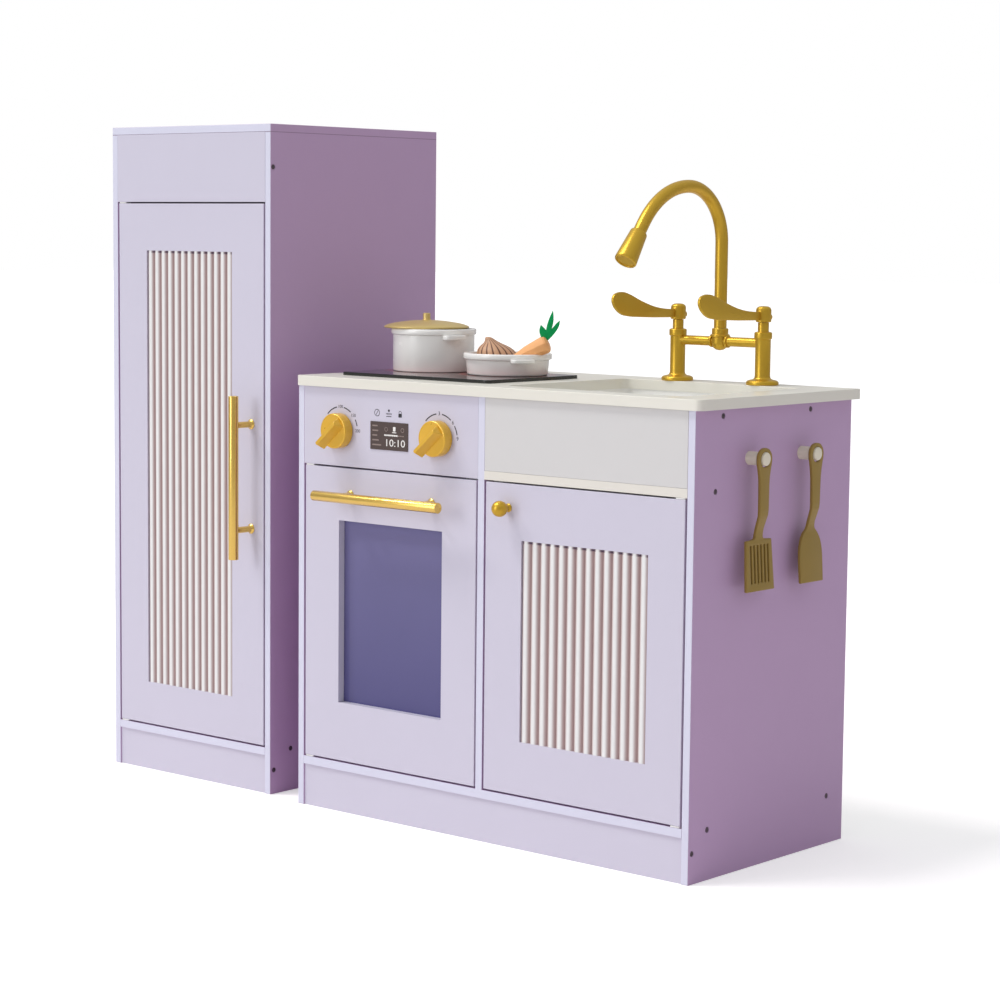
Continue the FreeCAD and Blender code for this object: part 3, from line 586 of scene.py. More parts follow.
KEPT_NODES = {
    "lilac_paint": (
        "kitchen_plinth", "control_panel", "oven_door", "cupboard_door", "fridge_header",
        "fridge_plinth", "fridge_door",
    ),
    "lilac_kitchen_boards": (
        "kitchen_left_side", "kitchen_right_side", "kitchen_divider", "kitchen_bottom_shelf",
    ),
    "lilac_fridge_boards": (
        "fridge_left_side", "fridge_right_side", "fridge_top", "fridge_bottom_shelf",
    ),
    "lilac_inside": ("fridge_shelves", "oven_ceiling"),
    "white_paint": ("sink_apron",),
    "rail_paint": ("kitchen_rail_board", "counter_cleats"),
    "white_hardboard": ("kitchen_back_panel", "fridge_back_panel"),
    "counter_paint": ("countertop",),
    "basin_plastic": ("sink_basin",),
    "hob_gloss": ("hob_plate",),
    "display_print": ("display_panel",),
    "window_acrylic": ("oven_window",),
    "cupboard_flutes": ("cupboard_fluted_panel",),
    "fridge_flutes": ("fridge_fluted_panel",),
    "steel": (
        "oven_window_screws", "oven_door_pivots", "cupboard_door_pivots", "fridge_door_pivots",
        "tap_nuts",
    ),
    "magnet_case": ("door_magnets", "fridge_magnet"),
}


# ---- operators, one for each piece or group of like pieces ----
class Maker:
    """What the operators share."""

    bl_options = {"REGISTER"}

    def execute(self, context):
        self.make(context.scene.toy_kitchen_sizes)
        return {"FINISHED"}


class KITCHEN_OT_boards(Maker, bpy.types.Operator):
    """Paint the boards, panels and fittings whose CAD shape stays"""

    bl_idname = "toy_kitchen.boards"
    bl_label = "Paint boards"

    def make(self, sizes):
        make_finishes(bpy.context.scene.toy_kitchen_colours)
        for finish, nodes in KEPT_NODES.items():
            for name in nodes:
                for holder in frame["nodes"][name].material_slots:
                    holder.material = FINISHES[finish]


class KITCHEN_OT_handles(Maker, bpy.types.Operator):
    """Bar handles of the oven and the fridge, and the cupboard's ball knob"""

    bl_idname = "toy_kitchen.handles"
    bl_label = "Handles and knob"

    POST_REACH = 65

    def bar(self, unit, along, sizes, trim=0.0, bar_shift=0.0, post_shift=0.0):
        """A bar on two posts. Trim and shifts along the bar are in millimetres."""
        name, node_name = unit + "_bar_handle", unit + "_handle"
        y_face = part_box(unit + "_door")[0].y
        low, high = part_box(node_name)
        centre = (low + high) / 2
        r = sizes.bar / MM / 2
        centre.y = low.y + r * MM
        half = max(high.x - low.x, high.z - low.z) / MM / 2 - trim
        rod = turned(name, [
            (0.3, -half + 0.5), (r - 2.2, -half + 0.5), (r - 1.9, -half), (r, -half), (r, half),
            (r - 1.9, half), (r - 2.2, half - 0.5), (0.3, half - 0.5),
        ], 64, soft=0.45)
        parts = [place(rod, centre + along * bar_shift * MM, along)]
        reach = (y_face - centre.y) / MM
        for side in (-1, 1):
            post = turned(name + "_post", [
                (0.3, 0), (6.2, 0), (6.2, 0.8), (5.4, 1.5), (4.4, 2.4), (3.9, 3.6), (3.9, 6),
                (3.9, reach - 2),
            ], 40, soft=0.2)
            off = side * self.POST_REACH + post_shift
            foot = Vector((centre.x, y_face, centre.z)) + along * off * MM
            parts.append(place(post, foot, FRONT))
        settle(joined(name, parts), unit + "_door_leaf", "gold_metal", node_name)

    def make(self, sizes):
        self.bar("oven", ALONG, sizes, trim=1.5, bar_shift=5, post_shift=2)
        self.bar("fridge", UP, sizes)
        low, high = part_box("cupboard_knob")
        profile = [(0.3, 0), (4.9, 0), (4.9, 0.7), (4.3, 1.3), (3.6, 2.2), (3.5, 6), (4.2, 7)]
        ball, ball_at = 9.2, 15.6
        for step in range(15):
            a = math.radians(-58 + step * 10.4)
            profile.append((ball * math.cos(a), ball_at + ball * math.sin(a)))
        profile.append((0.3, 24.8))
        knob = turned("cupboard_ball_knob", profile, 56)
        foot = Vector(((low.x + high.x) / 2, high.y, (low.z + high.z) / 2))
        settle(place(knob, foot, FRONT), "cupboard_door_leaf", "gold_metal", "cupboard_knob",
               finish="gold_plastic")


class KITCHEN_OT_dials(Maker, bpy.types.Operator):
    """The two round dials, each with its wedge grip"""

    bl_idname = "toy_kitchen.dials"
    bl_label = "Dials"

    GRIP_SIZE = (44, 15, 11)
    GRIP_SPOT = (-4.5, 0, 12.6 + 5.3)
    GRIP_TURN = 41

    def make(self, sizes):
        disc = turned("dial", [
            (0.3, 0.3), (20.4, 0.3), (21, 0.9), (21, 11.6), (20.7, 12.5), (20, 13.1), (18.9, 13.3),
            (18.3, 12.9), (0.3, 12.9),
        ], 96, soft=0.2)
        grip = block("dial_grip", self.GRIP_SIZE)
        grip.location = [distance * MM for distance in self.GRIP_SPOT]
        pick(grip, "FACE", lambda face: face.normal.z > 0.9)
        bpy.ops.transform.resize(value=(0.9, 0.24, 1), center_override=grip.location)
        tall = 8 * MM
        pick(grip, "EDGE", lambda edge: abs(edge.verts[0].co.z - edge.verts[1].co.z) > tall)
        bpy.ops.mesh.bevel(offset=1.3 * MM, segments=4, affect="EDGES")
        bpy.ops.object.mode_set(mode="OBJECT")
        place(grip, grip.location)
        soften(grip, 0.5, angle=28)
        smooth(grip, 50)
        dial = joined("dial", [disc, grip])
        for side in ("left", "right"):
            piece = copied(dial, side + "_dial")
            place(piece, PIVOTS[side + "_knob_turn"], FRONT, math.radians(self.GRIP_TURN))
            settle(piece, side + "_control_knob", "gold_plastic", "knob_" + side + "_dial",
                   finish="dial_gold")
        bpy.data.objects.remove(dial)


class KITCHEN_OT_tap(Maker, bpy.types.Operator):
    """Posts, bridge, spout, spray head and paddle levers of the tap"""

    bl_idname = "toy_kitchen.tap"
    bl_label = "Tap"

    BRIDGE_Z = 574.6 * MM
    SPOUT_FOOT_Z, SPOUT_TOP_Z = 590.3 * MM, 754.5 * MM
    BACK_BEND, FRONT_BEND = 65 * MM, 108 * MM
    SPOUT_FALL = math.radians(53)
    LEVER_SCREW_Z = 604.7 * MM

    def posts(self):
        post = turned("tap_post", [
            (0.3, 0), (18.4, 0), (19, 0.7), (19, 3), (18.4, 4.2), (17, 5.2), (14.8, 5.9), (12, 6.4),
            (10.4, 7.2), (9.4, 8.6), (9, 10.4), (9, 53.2), (9.9, 53.6), (10.4, 54.2), (10.4, 60.4),
            (9.8, 61.2), (8, 61.8), (6.45, 62), (6.45, 72.6), (0.3, 72.6),
        ], 72, soft=0.25)
        pieces = []
        for x in (PIVOTS["left_lever_turn"].x, PIVOTS["right_lever_turn"].x):
            twin = copied(post, "tap_post")
            pieces.append(place(twin, Vector((x, PIVOTS["spout_swivel"].y, COUNTER_Z))))
        bpy.data.objects.remove(post)
        settle(joined("tap_pillars", pieces), "kitchen_unit", "gold_plastic", "tap_posts")

    def bridge(self):
        centre = PIVOTS["spout_swivel"]
        span = (PIVOTS["right_lever_turn"].x - PIVOTS["left_lever_turn"].x) / MM / 2 - 6
        tube = turned("bridge_tube", [(0.3, -span), (5.65, -span), (5.65, span), (0.3, span)], 48)
        collars = []
        for side in (-1, 1):
            collar = turned("bridge_collar", [
                (5.6, 0), (6.9, 0), (7.3, 0.5), (7.3, 2.6), (6.9, 3.1), (5.6, 3.1),
            ], 48)
            spot = Vector((centre.x + side * 9.5 * MM, centre.y, self.BRIDGE_Z))
            collars.append(place(collar, spot, ALONG * side))
        tee = turned("bridge_tee", [
            (0.3, -10.7), (4.5, -9.9), (7.6, -7.6), (9.3, -4.4), (9.7, -2), (9.7, 4.9), (11, 5.3),
            (11.6, 5.9), (11.6, 7.6), (11, 8.2), (9.7, 8.6), (9.7, 14.6), (8.9, 15.4), (7.4, 15.4),
            (0.3, 15.4),
        ], 64)
        parts = [
            place(tube, Vector((centre.x, centre.y, self.BRIDGE_Z)), ALONG),
            place(tee, Vector((centre.x, centre.y, self.BRIDGE_Z))),
        ]
        crosspiece = joined("tap_crosspiece", parts + collars)
        settle(crosspiece, "kitchen_unit", "gold_plastic", "tap_bridge")

    def spout(self, sizes):
        """A tube drawn up, spun through a tight bend and a wider one, and its spray head."""
        foot = Vector((PIVOTS["spout_swivel"].x, PIVOTS["spout_swivel"].y, self.SPOUT_FOOT_Z))
        top_z, fall = self.SPOUT_TOP_Z, self.SPOUT_FALL
        deselect()
        bpy.ops.mesh.primitive_circle_add(vertices=40, radius=sizes.spout / 2, location=foot)
        tube = bpy.context.object
        bpy.ops.object.transform_apply(location=True, rotation=True, scale=True)
        bpy.ops.object.mode_set(mode="EDIT")
        bpy.ops.mesh.select_all(action="SELECT")
        rise = (0, 0, top_z - self.BACK_BEND - foot.z)
        bpy.ops.mesh.extrude_edges_move(TRANSFORM_OT_translate={"value": rise})
        for bend, turn, steps in ((self.BACK_BEND, math.pi / 2, 28), (self.FRONT_BEND, fall, 20)):
            hub = Vector((foot.x, foot.y - self.BACK_BEND, top_z - bend))
            bpy.ops.mesh.spin(steps=steps, angle=turn, center=hub, axis=(-1, 0, 0), dupli=False)
        ahead = Vector((0, -math.cos(fall), -math.sin(fall)))
        bpy.ops.mesh.extrude_edges_move(TRANSFORM_OT_translate={"value": ahead * 13.5 * MM})
        bpy.ops.object.mode_set(mode="OBJECT")
        close_up(tube)
        smooth(tube)
        settle(joined("tap_swan_neck", [tube]), "spout", "gold_plastic", "tap_spout")
        outwards = Vector((0, -math.sin(fall), math.cos(fall)))
        end = hub + outwards * self.FRONT_BEND + ahead * 13 * MM
        head = turned("tap_spray_cup", [
            (0.3, 0), (8.6, 0), (9.6, 0.5), (10, 1.4), (12.9, 37.6), (13, 39.2), (12.6, 40.4),
            (11.6, 41), (10.8, 40.8), (10.4, 39.6), (0.3, 39.6),
        ], 72)
        settle(place(head, end, ahead), "spout", "gold_plastic", "tap_spray_head")

    def levers(self):
        outline = [
            (0, 601.4, True), (-20, 601.4), (-71, 602.5), (-99.5, 604.2), (-111, 606.5),
            (-120, 611.5), (-125.5, 617), (-127.7, 623.5), (-125.5, 628.5), (-119, 631.6),
            (-109, 632.4), (-99.5, 630.6), (-72, 621.2), (-45, 614.2), (-19, 611.4),
            (0, 611.2, True),
        ]
        for side in ("left", "right"):
            hub_at = PIVOTS[side + "_lever_turn"]
            paddle = cut_out("paddle", [outline], 3.5, 0.7, 8)
            on_edge = Matrix(((0, 0, 1, 0), (1, 0, 0, 0), (0, 1, 0, 0), (0, 0, 0, 1)))
            paddle.data.transform(on_edge)
            smooth(paddle, 45)
            place(paddle, Vector((hub_at.x, hub_at.y, 0)))
            cap = turned("cap", [
                (0.3, 599), (8.3, 599), (9, 599.8), (9, 612.6), (8.6, 614.6), (7.4, 616.2),
                (5.2, 617.3), (2.6, 617.6), (0.3, 617.6),
            ], 64)
            place(cap, Vector((hub_at.x, hub_at.y, 0)))
            nub = turned("nub", [
                (2.2, 0), (2.2, 1.4), (3.4, 1.9), (4, 3), (3.9, 4.4), (3.1, 5.4), (1.6, 5.9),
                (0.3, 6),
            ], 32)
            place(nub, Vector((hub_at.x, hub_at.y + 8 * MM, self.LEVER_SCREW_Z)), -FRONT)
            piece = joined("tap_" + side + "_paddle", [paddle, cap, nub])
            settle(piece, side + "_lever", "gold_plastic", "tap_lever_" + side)

    def make(self, sizes):
        self.posts()
        self.bridge()
        self.spout(sizes)
        self.levers()


class KITCHEN_OT_print(Maker, bpy.types.Operator):
    """Scales, symbols and numbers printed on the control panel, and the clock on its screen"""

    bl_idname = "toy_kitchen.print"
    bl_label = "Panel print"

    SCALE_RADIUS, NUMBER_RADIUS, SCALE_WIDTH = 28.3, 28.6, 1.3
    SCALE_START, NUMBER_ANGLES = 138, (90, 42, 2)
    SYMBOL_Z = 487.3
    CLOCK_X, BARS_X, LOCK_X = 130, 149, 167

    def flat(self, loops, at, thick):
        piece = cut_out("mark", loops, thick, 0, 4)
        return self.stand(piece, at, thick)

    def stand(self, piece, at, thick):
        """Stands a flat mark up against a panel, its own zero at a place on the panel's face."""
        where = from_corner(*at) + FRONT * (thick / 2) * MM
        piece.data.transform(Matrix.Rotation(math.radians(90), 4, "X"))
        piece.data.transform(Matrix.Translation(where))
        return piece

    def band(self, radius, start, end, width, at, thick):
        steps = 14
        angles = [math.radians(start + (end - start) * i / steps) for i in range(steps + 1)]
        outer, inner = (
            [(rim * math.cos(a), rim * math.sin(a), True) for a in angles]
            for rim in (radius + width / 2, radius - width / 2)
        )
        return self.flat([outer + inner[::-1]], at, thick)

    def words(self, text, size, at, thick, widen=1.0):
        deselect()
        bpy.ops.object.text_add(location=(0, 0, 0))
        obj = bpy.context.object
        obj.data.body = text
        obj.data.size = size * MM
        obj.data.align_x = "CENTER"
        obj.data.align_y = "CENTER"
        obj.data.extrude = thick / 2 * MM
        obj.data.resolution_u = 3
        bpy.ops.object.convert(target="MESH")
        obj = bpy.context.object
        close_up(obj)
        obj.data.transform(Matrix.Scale(widen, 4, ALONG))
        return self.stand(obj, at, thick)

    def scales(self, thick):
        made = []
        labels = {"left_knob_turn": ("100", "150", "200"), "right_knob_turn": ("3", "6", "9")}
        for joint, numbers in labels.items():
            spot = (PIVOTS[joint] - CORNER) / MM
            centre = (spot.x, 0, spot.z)
            wide, tall = (5.8, 5.4) if len(numbers[0]) > 1 else (4.4, 6.4)
            gap = math.degrees(wide / self.SCALE_RADIUS)
            starts = (self.SCALE_START, *(angle - gap for angle in self.NUMBER_ANGLES))
            for start, angle in zip(starts, self.NUMBER_ANGLES):
                made.append(self.band(self.SCALE_RADIUS, start, angle + gap, self.SCALE_WIDTH,
                                      centre, thick))
            r = self.NUMBER_RADIUS
            for number, angle in zip(numbers, self.NUMBER_ANGLES):
                a = math.radians(angle)
                place_at = (spot.x + r * math.cos(a), 0, spot.z + r * math.sin(a))
                made.append(self.words(number, tall, place_at, thick))
        return made

    def symbols(self, thick):
        z = self.SYMBOL_Z
        hand = [(-1.9, -2.2, True), (-1.3, -2.6, True), (1.9, 2.2, True), (1.3, 2.6, True)]
        marks = [
            (self.CLOCK_X, z, [ring_points(4.3, 16), ring_points(3.6, 16)]),
            (self.CLOCK_X, z, [hand]),
            (self.BARS_X, z + 3.2, [ring_points(1.5, 10)]),
        ]
        for x, tall in ((-4, 1.5), (-2, 2.3), (0, 2.8), (2, 2.3), (4, 1.5)):
            bar = rounded_rectangle(x - 0.45, x + 0.45, -tall / 2, tall / 2, 0.3)
            marks.append((self.BARS_X, z - 0.6, [bar]))
        shackle = [ring_points(2.2, 12, (0, 0.9)), ring_points(1.5, 12, (0, 0.9))]
        marks += [
            (self.BARS_X, z - 3.6, [rounded_rectangle(-4.2, 4.2, -0.4, 0.4, 0.3)]),
            (self.LOCK_X, z, [rounded_rectangle(-2.7, 2.7, -3.9, 0.4, 0.6)]),
            (self.LOCK_X, z + 0.7, shackle),
        ]
        return [self.flat(loops, (x, 0, height), thick) for x, height, loops in marks]

    def make(self, sizes):
        thick = sizes.print_lift / MM
        settle(joined("control_panel_print", self.scales(thick) + self.symbols(thick)),
               "kitchen_unit", "display_print", finish="panel_ink")
        x, y, z = ((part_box("display_panel")[0] - CORNER) / MM)[:]

        def on_screen(across, up, *loops):
            return self.flat(list(loops), (x + across, y, z + up), thick)

        bright = [self.words("10:10", 12, (x + 39.5, y, z + 8.4), thick, 1.25)]
        for i in range(7):
            tile = rounded_rectangle(0, 2.6, -0.9, 0.9, 0.2)
            bright.append(on_screen(22.6 + i * 3.1, 17.6, tile))
        bright.append(on_screen(38.5, 25.3, rounded_rectangle(-2, 2, -2.6, 2.6, 0.7)))
        bright.append(on_screen(38.5, 21.2, rounded_rectangle(-3.2, 3.2, -0.45, 0.45, 0.3)))
        settle(joined("display_clock", bright), "kitchen_unit", "display_print",
               finish="display_glow")
        dim = []
        for i, wide in enumerate((8.5, 9.5, 8, 10.5, 14.5)):
            dim.append(on_screen(3.2, 28 - i * 5.6, rounded_rectangle(0, wide, -0.8, 0.8, 0.4)))
        for i in range(3):
            dim.append(on_screen(44.4 + i * 3.4, 17.6, rounded_rectangle(0, 2.6, -0.6, 0.6, 0.2)))
        for spot in (25.5, 51.5):
            dim.append(on_screen(spot, 24.5, ring_points(2.6, 10), ring_points(2.0, 10)))
        settle(joined("display_menu", dim), "kitchen_unit", "display_print", finish="display_dim")


class KITCHEN_OT_fittings(Maker, bpy.types.Operator):
    """Board screws with cross recesses, and the two utensil pegs"""

    bl_idname = "toy_kitchen.fittings"
    bl_label = "Screws and pegs"

    SCREW_INSET = 0.26
    KITCHEN_SCREWS = [(50, 506), (217, 506), (38, 425), (6.8, 34), (34, 56), (267, 56)]
    FRIDGE_SCREWS = [
        (4.75, 776), (36, 53.25), (258, 53.25), (6.75, 30), (70, 284.75), (250, 284.75),
        (70, 509.75), (250, 509.75),
    ]

    def screw(self):
        head = turned("screw_head", [
            (0.3, -0.5), (2.7, -0.5), (3.0, -0.2), (2.9, 0.0), (2.3, 0.18), (0.3, 0.25),
        ], 28)
        for turn in (0, 90):
            cutter = block("cutter", (3.3, 0.7, 2.0))
            place(cutter, Vector((0, 0, 0.8 * MM)), UP, math.radians(turn + 20))
            modifier(head, "BOOLEAN", operation="DIFFERENCE", object=cutter, solver="EXACT")
            bpy.data.objects.remove(cutter)
        smooth(head, 25)
        return head

    def ranks(self, name, node_name, body, spots, faces):
        pieces = []
        head = self.screw()
        for x, direction in faces:
            for y, z in spots:
                twin = copied(head, name)
                sunk = x - direction.x * self.SCREW_INSET * MM
                pieces.append(place(twin, Vector((sunk, y, z)), direction))
        bpy.data.objects.remove(head)
        settle(joined(name, pieces), body, "steel", node_name, finish="board_screws")

    def make(self, sizes):
        for name, node_name, body, spots in (
            ("kitchen_screw_heads", "kitchen_screws", "kitchen_unit", self.KITCHEN_SCREWS),
            ("fridge_screw_heads", "fridge_screws", "fridge_unit", self.FRIDGE_SCREWS),
        ):
            low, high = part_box(body.replace("unit", "left_side"))
            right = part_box(body.replace("unit", "right_side"))[1].x
            where = [(low.y + y * MM, z * MM) for y, z in spots]
            self.ranks(name, node_name, body, where, ((right, ALONG), (low.x, -ALONG)))
        pegs = []
        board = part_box("kitchen_right_side")[1].x
        for joint in ("turner_swing", "spatula_swing"):
            peg = turned("peg", [
                (0.3, 0), (7.5, 0), (7.5, 22.4), (7.2, 23.3), (6.4, 23.8), (4, 24), (0.3, 24),
            ], 48)
            pegs.append(place(peg, Vector((board, PIVOTS[joint].y, PIVOTS[joint].z)), ALONG))
        settle(joined("cream_pegs", pegs), "kitchen_unit", "peg_wood", "utensil_pegs")
        for door in ("oven_door", "cupboard_door", "fridge_door"):
            low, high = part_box(door)
            pivot = PIVOTS[door + "_hinge"]
            plates = []
            for gap in (low.z - 1 * MM, high.z + 1 * MM):
                outline = rounded_rectangle(-6.5, 6.5, -4.5, 4.5, 1.2)
                plate = cut_out("pivot_plate", [outline, ring_points(2.7, 12)], 1.7, 0.3, 6)
                smooth(plate)
                plates.append(place(plate, Vector((pivot.x, pivot.y, gap))))
            settle(joined(door + "_pivot_plates", plates), door + "_leaf", "magnet_case")


class KITCHEN_OT_utensils(Maker, bpy.types.Operator):
    """The slotted turner and the spatula, cranked in one smooth bend"""

    bl_idname = "toy_kitchen.utensils"
    bl_label = "Utensils"

    EYE_RADIUS, EYE_Z = 8.45, 457.3
    BEND = [
        (480, 614), (402, 614), (396, 613.4), (389, 611.2), (382, 608.9), (376, 607.8),
        (370, 607.4), (362, 607.9), (312, 611),
    ]

    def crank(self, height):
        """How far out the blade stands at a height, both in millimetres."""
        for (z1, x1), (z0, x0) in zip(self.BEND, self.BEND[1:]):
            if z0 <= height <= z1:
                return x0 + (x1 - x0) * (height - z0) / (z1 - z0)
        return self.BEND[-1][1]

    def tool(self, name, body, joint, outline, holes, node_name):
        eye = ring_points(self.EYE_RADIUS, 16, (0, self.EYE_Z))
        piece = cut_out(name, [outline, eye] + holes, 4.0, 0.8, 6)
        only(piece)
        for height in (404, 400, 396, 392.5, 389, 385.5, 382, 379, 376, 373, 370, 366, 362):
            bpy.ops.object.mode_set(mode="EDIT")
            bpy.ops.mesh.select_all(action="SELECT")
            bpy.ops.mesh.bisect(plane_co=(0, height * MM, 0), plane_no=(0, 1, 0))
        bpy.ops.object.mode_set(mode="OBJECT")
        side = PIVOTS[joint].y
        for vertex in piece.data.vertices:
            across, height, thick = vertex.co
            vertex.co = (CORNER.x + self.crank(height / MM) * MM + thick, side + across, height)
        close_up(piece)
        smooth(piece, 42)
        settle(piece, body, "utensil_paint", node_name)

    def mirrored(self, half):
        """A whole outline from its right half, given from the top down."""
        left = [(-p[0], *p[1:]) for p in reversed(half)]
        return half + left

    def make(self, sizes):
        turner = self.mirrored([
            (4.5, 469.4), (9.5, 466.2), (12.3, 461.5), (12.6, 455), (10.8, 447), (8.8, 436),
            (8.2, 418), (8, 402), (6.9, 388), (6.7, 376), (7.6, 371.5), (12.6, 370),
            (22.7, 369.2, True), (23.4, 368, True), (26, 314.2, True), (25.4, 313.5, True),
        ])
        slots = [
            rounded_rectangle(y - 1.5, y + 1.5, 322, 364, 0.8)
            for y in (-16, -9.6, -3.2, 3.2, 9.6, 16)
        ]
        self.tool("slotted_turner", "turner_body", "turner_swing", turner, slots, "turner")
        spatula = self.mirrored([
            (4.5, 469.4), (9.5, 466.2), (12.3, 461.5), (12.6, 455), (10.8, 447), (8.8, 436),
            (7.8, 418), (7.4, 402), (6.4, 388), (6.2, 379), (7.8, 374), (12.6, 369.6), (17, 363.6),
            (20.2, 355.6), (21.8, 346), (22, 336), (21.8, 314.2, True), (21.2, 313.5, True),
        ])
        self.tool("flat_spatula", "spatula_body", "spatula_swing", spatula, [], "spatula")


class KITCHEN_OT_cookware(Maker, bpy.types.Operator):
    """Casserole pot with its lid, and the shallow dish"""

    bl_idname = "toy_kitchen.cookware"
    bl_label = "Cookware"

    def lugs(self, centre, radius, z, thick, angle):
        made = []
        outline = rounded_rectangle(radius - 4, radius + 11, -14.5, 14.5, 5)
        for turn in (angle, angle + 180):
            tab = cut_out("lug", [outline], thick, 0.9, 6)
            smooth(tab, 50)
            made.append(place(tab, Vector((centre.x, centre.y, z)), UP, math.radians(turn)))
        return made

    def make(self, sizes):
        pot_at = from_corner(88, 145, HOB_Z / MM)
        pot = turned("pot", [
            (0.3, 0.4), (46, 0.4), (48.3, 0), (49.4, 0.7), (49.8, 2), (49.8, 44.2), (50.6, 44.8),
            (51.6, 45.2), (52, 45.9), (52, 50.8), (51.5, 51.6), (50.6, 52), (48, 52), (47.1, 51.6),
            (46.8, 50.8), (46.8, 5), (46, 3.6), (44.5, 3), (0.3, 3),
        ], 96)
        place(pot, pot_at)
        ears = self.lugs(pot_at, 49.8, HOB_Z + 42.4 * MM, 5.5, -20)
        settle(joined("casserole_pot", [pot] + ears), "pot_body", "cookware_white", "pot")
        lid_at = from_corner(77.8, 143, HOB_Z / MM + 52)
        lid = turned("pot_cover", [
            (0.3, 0.1), (50.5, 0.1), (51.7, 0.4), (52.2, 1.2), (51.9, 2.3), (50, 3.3), (46, 4.7),
            (40, 6.1), (32, 7.4), (24, 8.5), (16, 9.2), (9, 9.6), (5.6, 9.9), (4.7, 10.6),
            (4.5, 12), (4.6, 17), (4.3, 17.9), (3.4, 18.4), (0.3, 18.4),
        ], 96)
        settle(place(lid, lid_at), "lid_body", "lid_gold", "pot_lid")
        dish_at = from_corner(203, 150, HOB_Z / MM)
        dish = turned("dish_bowl", [
            (0.3, 0.4), (44, 0.4), (46.8, 0), (48, 0.7), (48.6, 2), (49.9, 18.2), (51.3, 18.8),
            (52.6, 19.2), (53, 20), (53, 24.8), (52.5, 25.6), (51.6, 26), (48.6, 26), (47.6, 25.6),
            (47.1, 24.8), (45.6, 4.6), (44.6, 3.5), (43, 3), (0.3, 3),
        ], 96)
        place(dish, dish_at)
        ears = self.lugs(dish_at, 49.9, HOB_Z + 18.2 * MM, 4.6, -30)
        settle(joined("shallow_dish", [dish] + ears), "dish_body", "cookware_white", "dish")


class KITCHEN_OT_vegetables(Maker, bpy.types.Operator):
    """The lined onion, and the eight-sided carrot with felt leaves"""

    bl_idname = "toy_kitchen.vegetables"
    bl_label = "Vegetables"

    def onion(self):
        profile = [
            (0.4, 0), (7, 0.3), (13, 1.2), (18, 3.2), (21.6, 6.2), (23.9, 10), (24.8, 14),
            (24.9, 18), (24, 22), (21.9, 25.6), (18.8, 28.6), (15.2, 31), (11.6, 33), (8.8, 35),
            (6.6, 37), (5, 39), (3.6, 40.3), (1.6, 40.9), (0.4, 40.9),
        ]
        piece = turned("lined_onion", profile, 144)
        attribute = piece.data.attributes.new("skin_line", "FLOAT", "POINT")
        for vertex in piece.data.vertices:
            x, y, z = vertex.co / MM
            lined = round(math.degrees(math.atan2(y, x)) / 2.5) % 8 < 2 and 2 < z < 39.5
            attribute.data[vertex.index].value = 1.0 if lined else 0.0
            groove = 0.985 if lined else 1.0
            bend = max(0.0, (z - 12) / 28.9) ** 2
            vertex.co = ((x * groove - 9 * bend) * MM, (y * groove - 8 * bend) * MM, z * MM)
        foot = from_corner(183, 155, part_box("onion")[0].z / MM)
        settle(place(piece, foot), "onion_body", "onion_paint", "onion")

    def carrot(self):
        tip = from_corner(224, 132.5, 549)
        crown = from_corner(262, 155, 569.5)
        axis = crown - tip
        length = axis.length / MM
        piece = turned("faceted_carrot", [
            (1.2, 0.2), (3.4, 0.8), (8.2, length * 0.4), (10.4, length * 0.78), (11, length * 0.92),
            (10, length - 1.5), (6.8, length),
            (0.4, length),
        ], 8, soft=0.35)
        smooth(piece, 12)
        place(piece, tip, axis.normalized(), math.radians(22.5))
        settle(piece, "carrot_body", "carrot_paint", "carrot")
        leaf = cut_out("felt_leaves", [[
            (-1, 0, True), (-3.8, 5.5), (-4.9, 10.5), (-4.4, 14.5), (-3.2, 17.9, True), (0, 15),
            (3, 11.8, True), (4.2, 18), (7, 26.5), (11, 35.4, True), (11.8, 27.5), (11.4, 20),
            (9.8, 13.5, True), (12.6, 16.6), (16, 20.6), (19.4, 23.4, True), (18.4, 17), (15, 10.5),
            (10.2, 4.4), (6, 0, True),
        ]], 2.6, 0.5, 6)
        smooth(leaf, 50)
        across = Vector((0.76, 0.65, 0)).normalized()
        facing = across.cross(UP)
        turn = Matrix((across, UP, facing)).transposed().to_4x4()
        leaf.data.transform(Matrix.Translation(crown + across * -6 * MM + UP * 3.8 * MM) @ turn)
        settle(leaf, "carrot_body", "leaf_felt", "carrot_leaves")

    def make(self, sizes):
        self.onion()
        self.carrot()


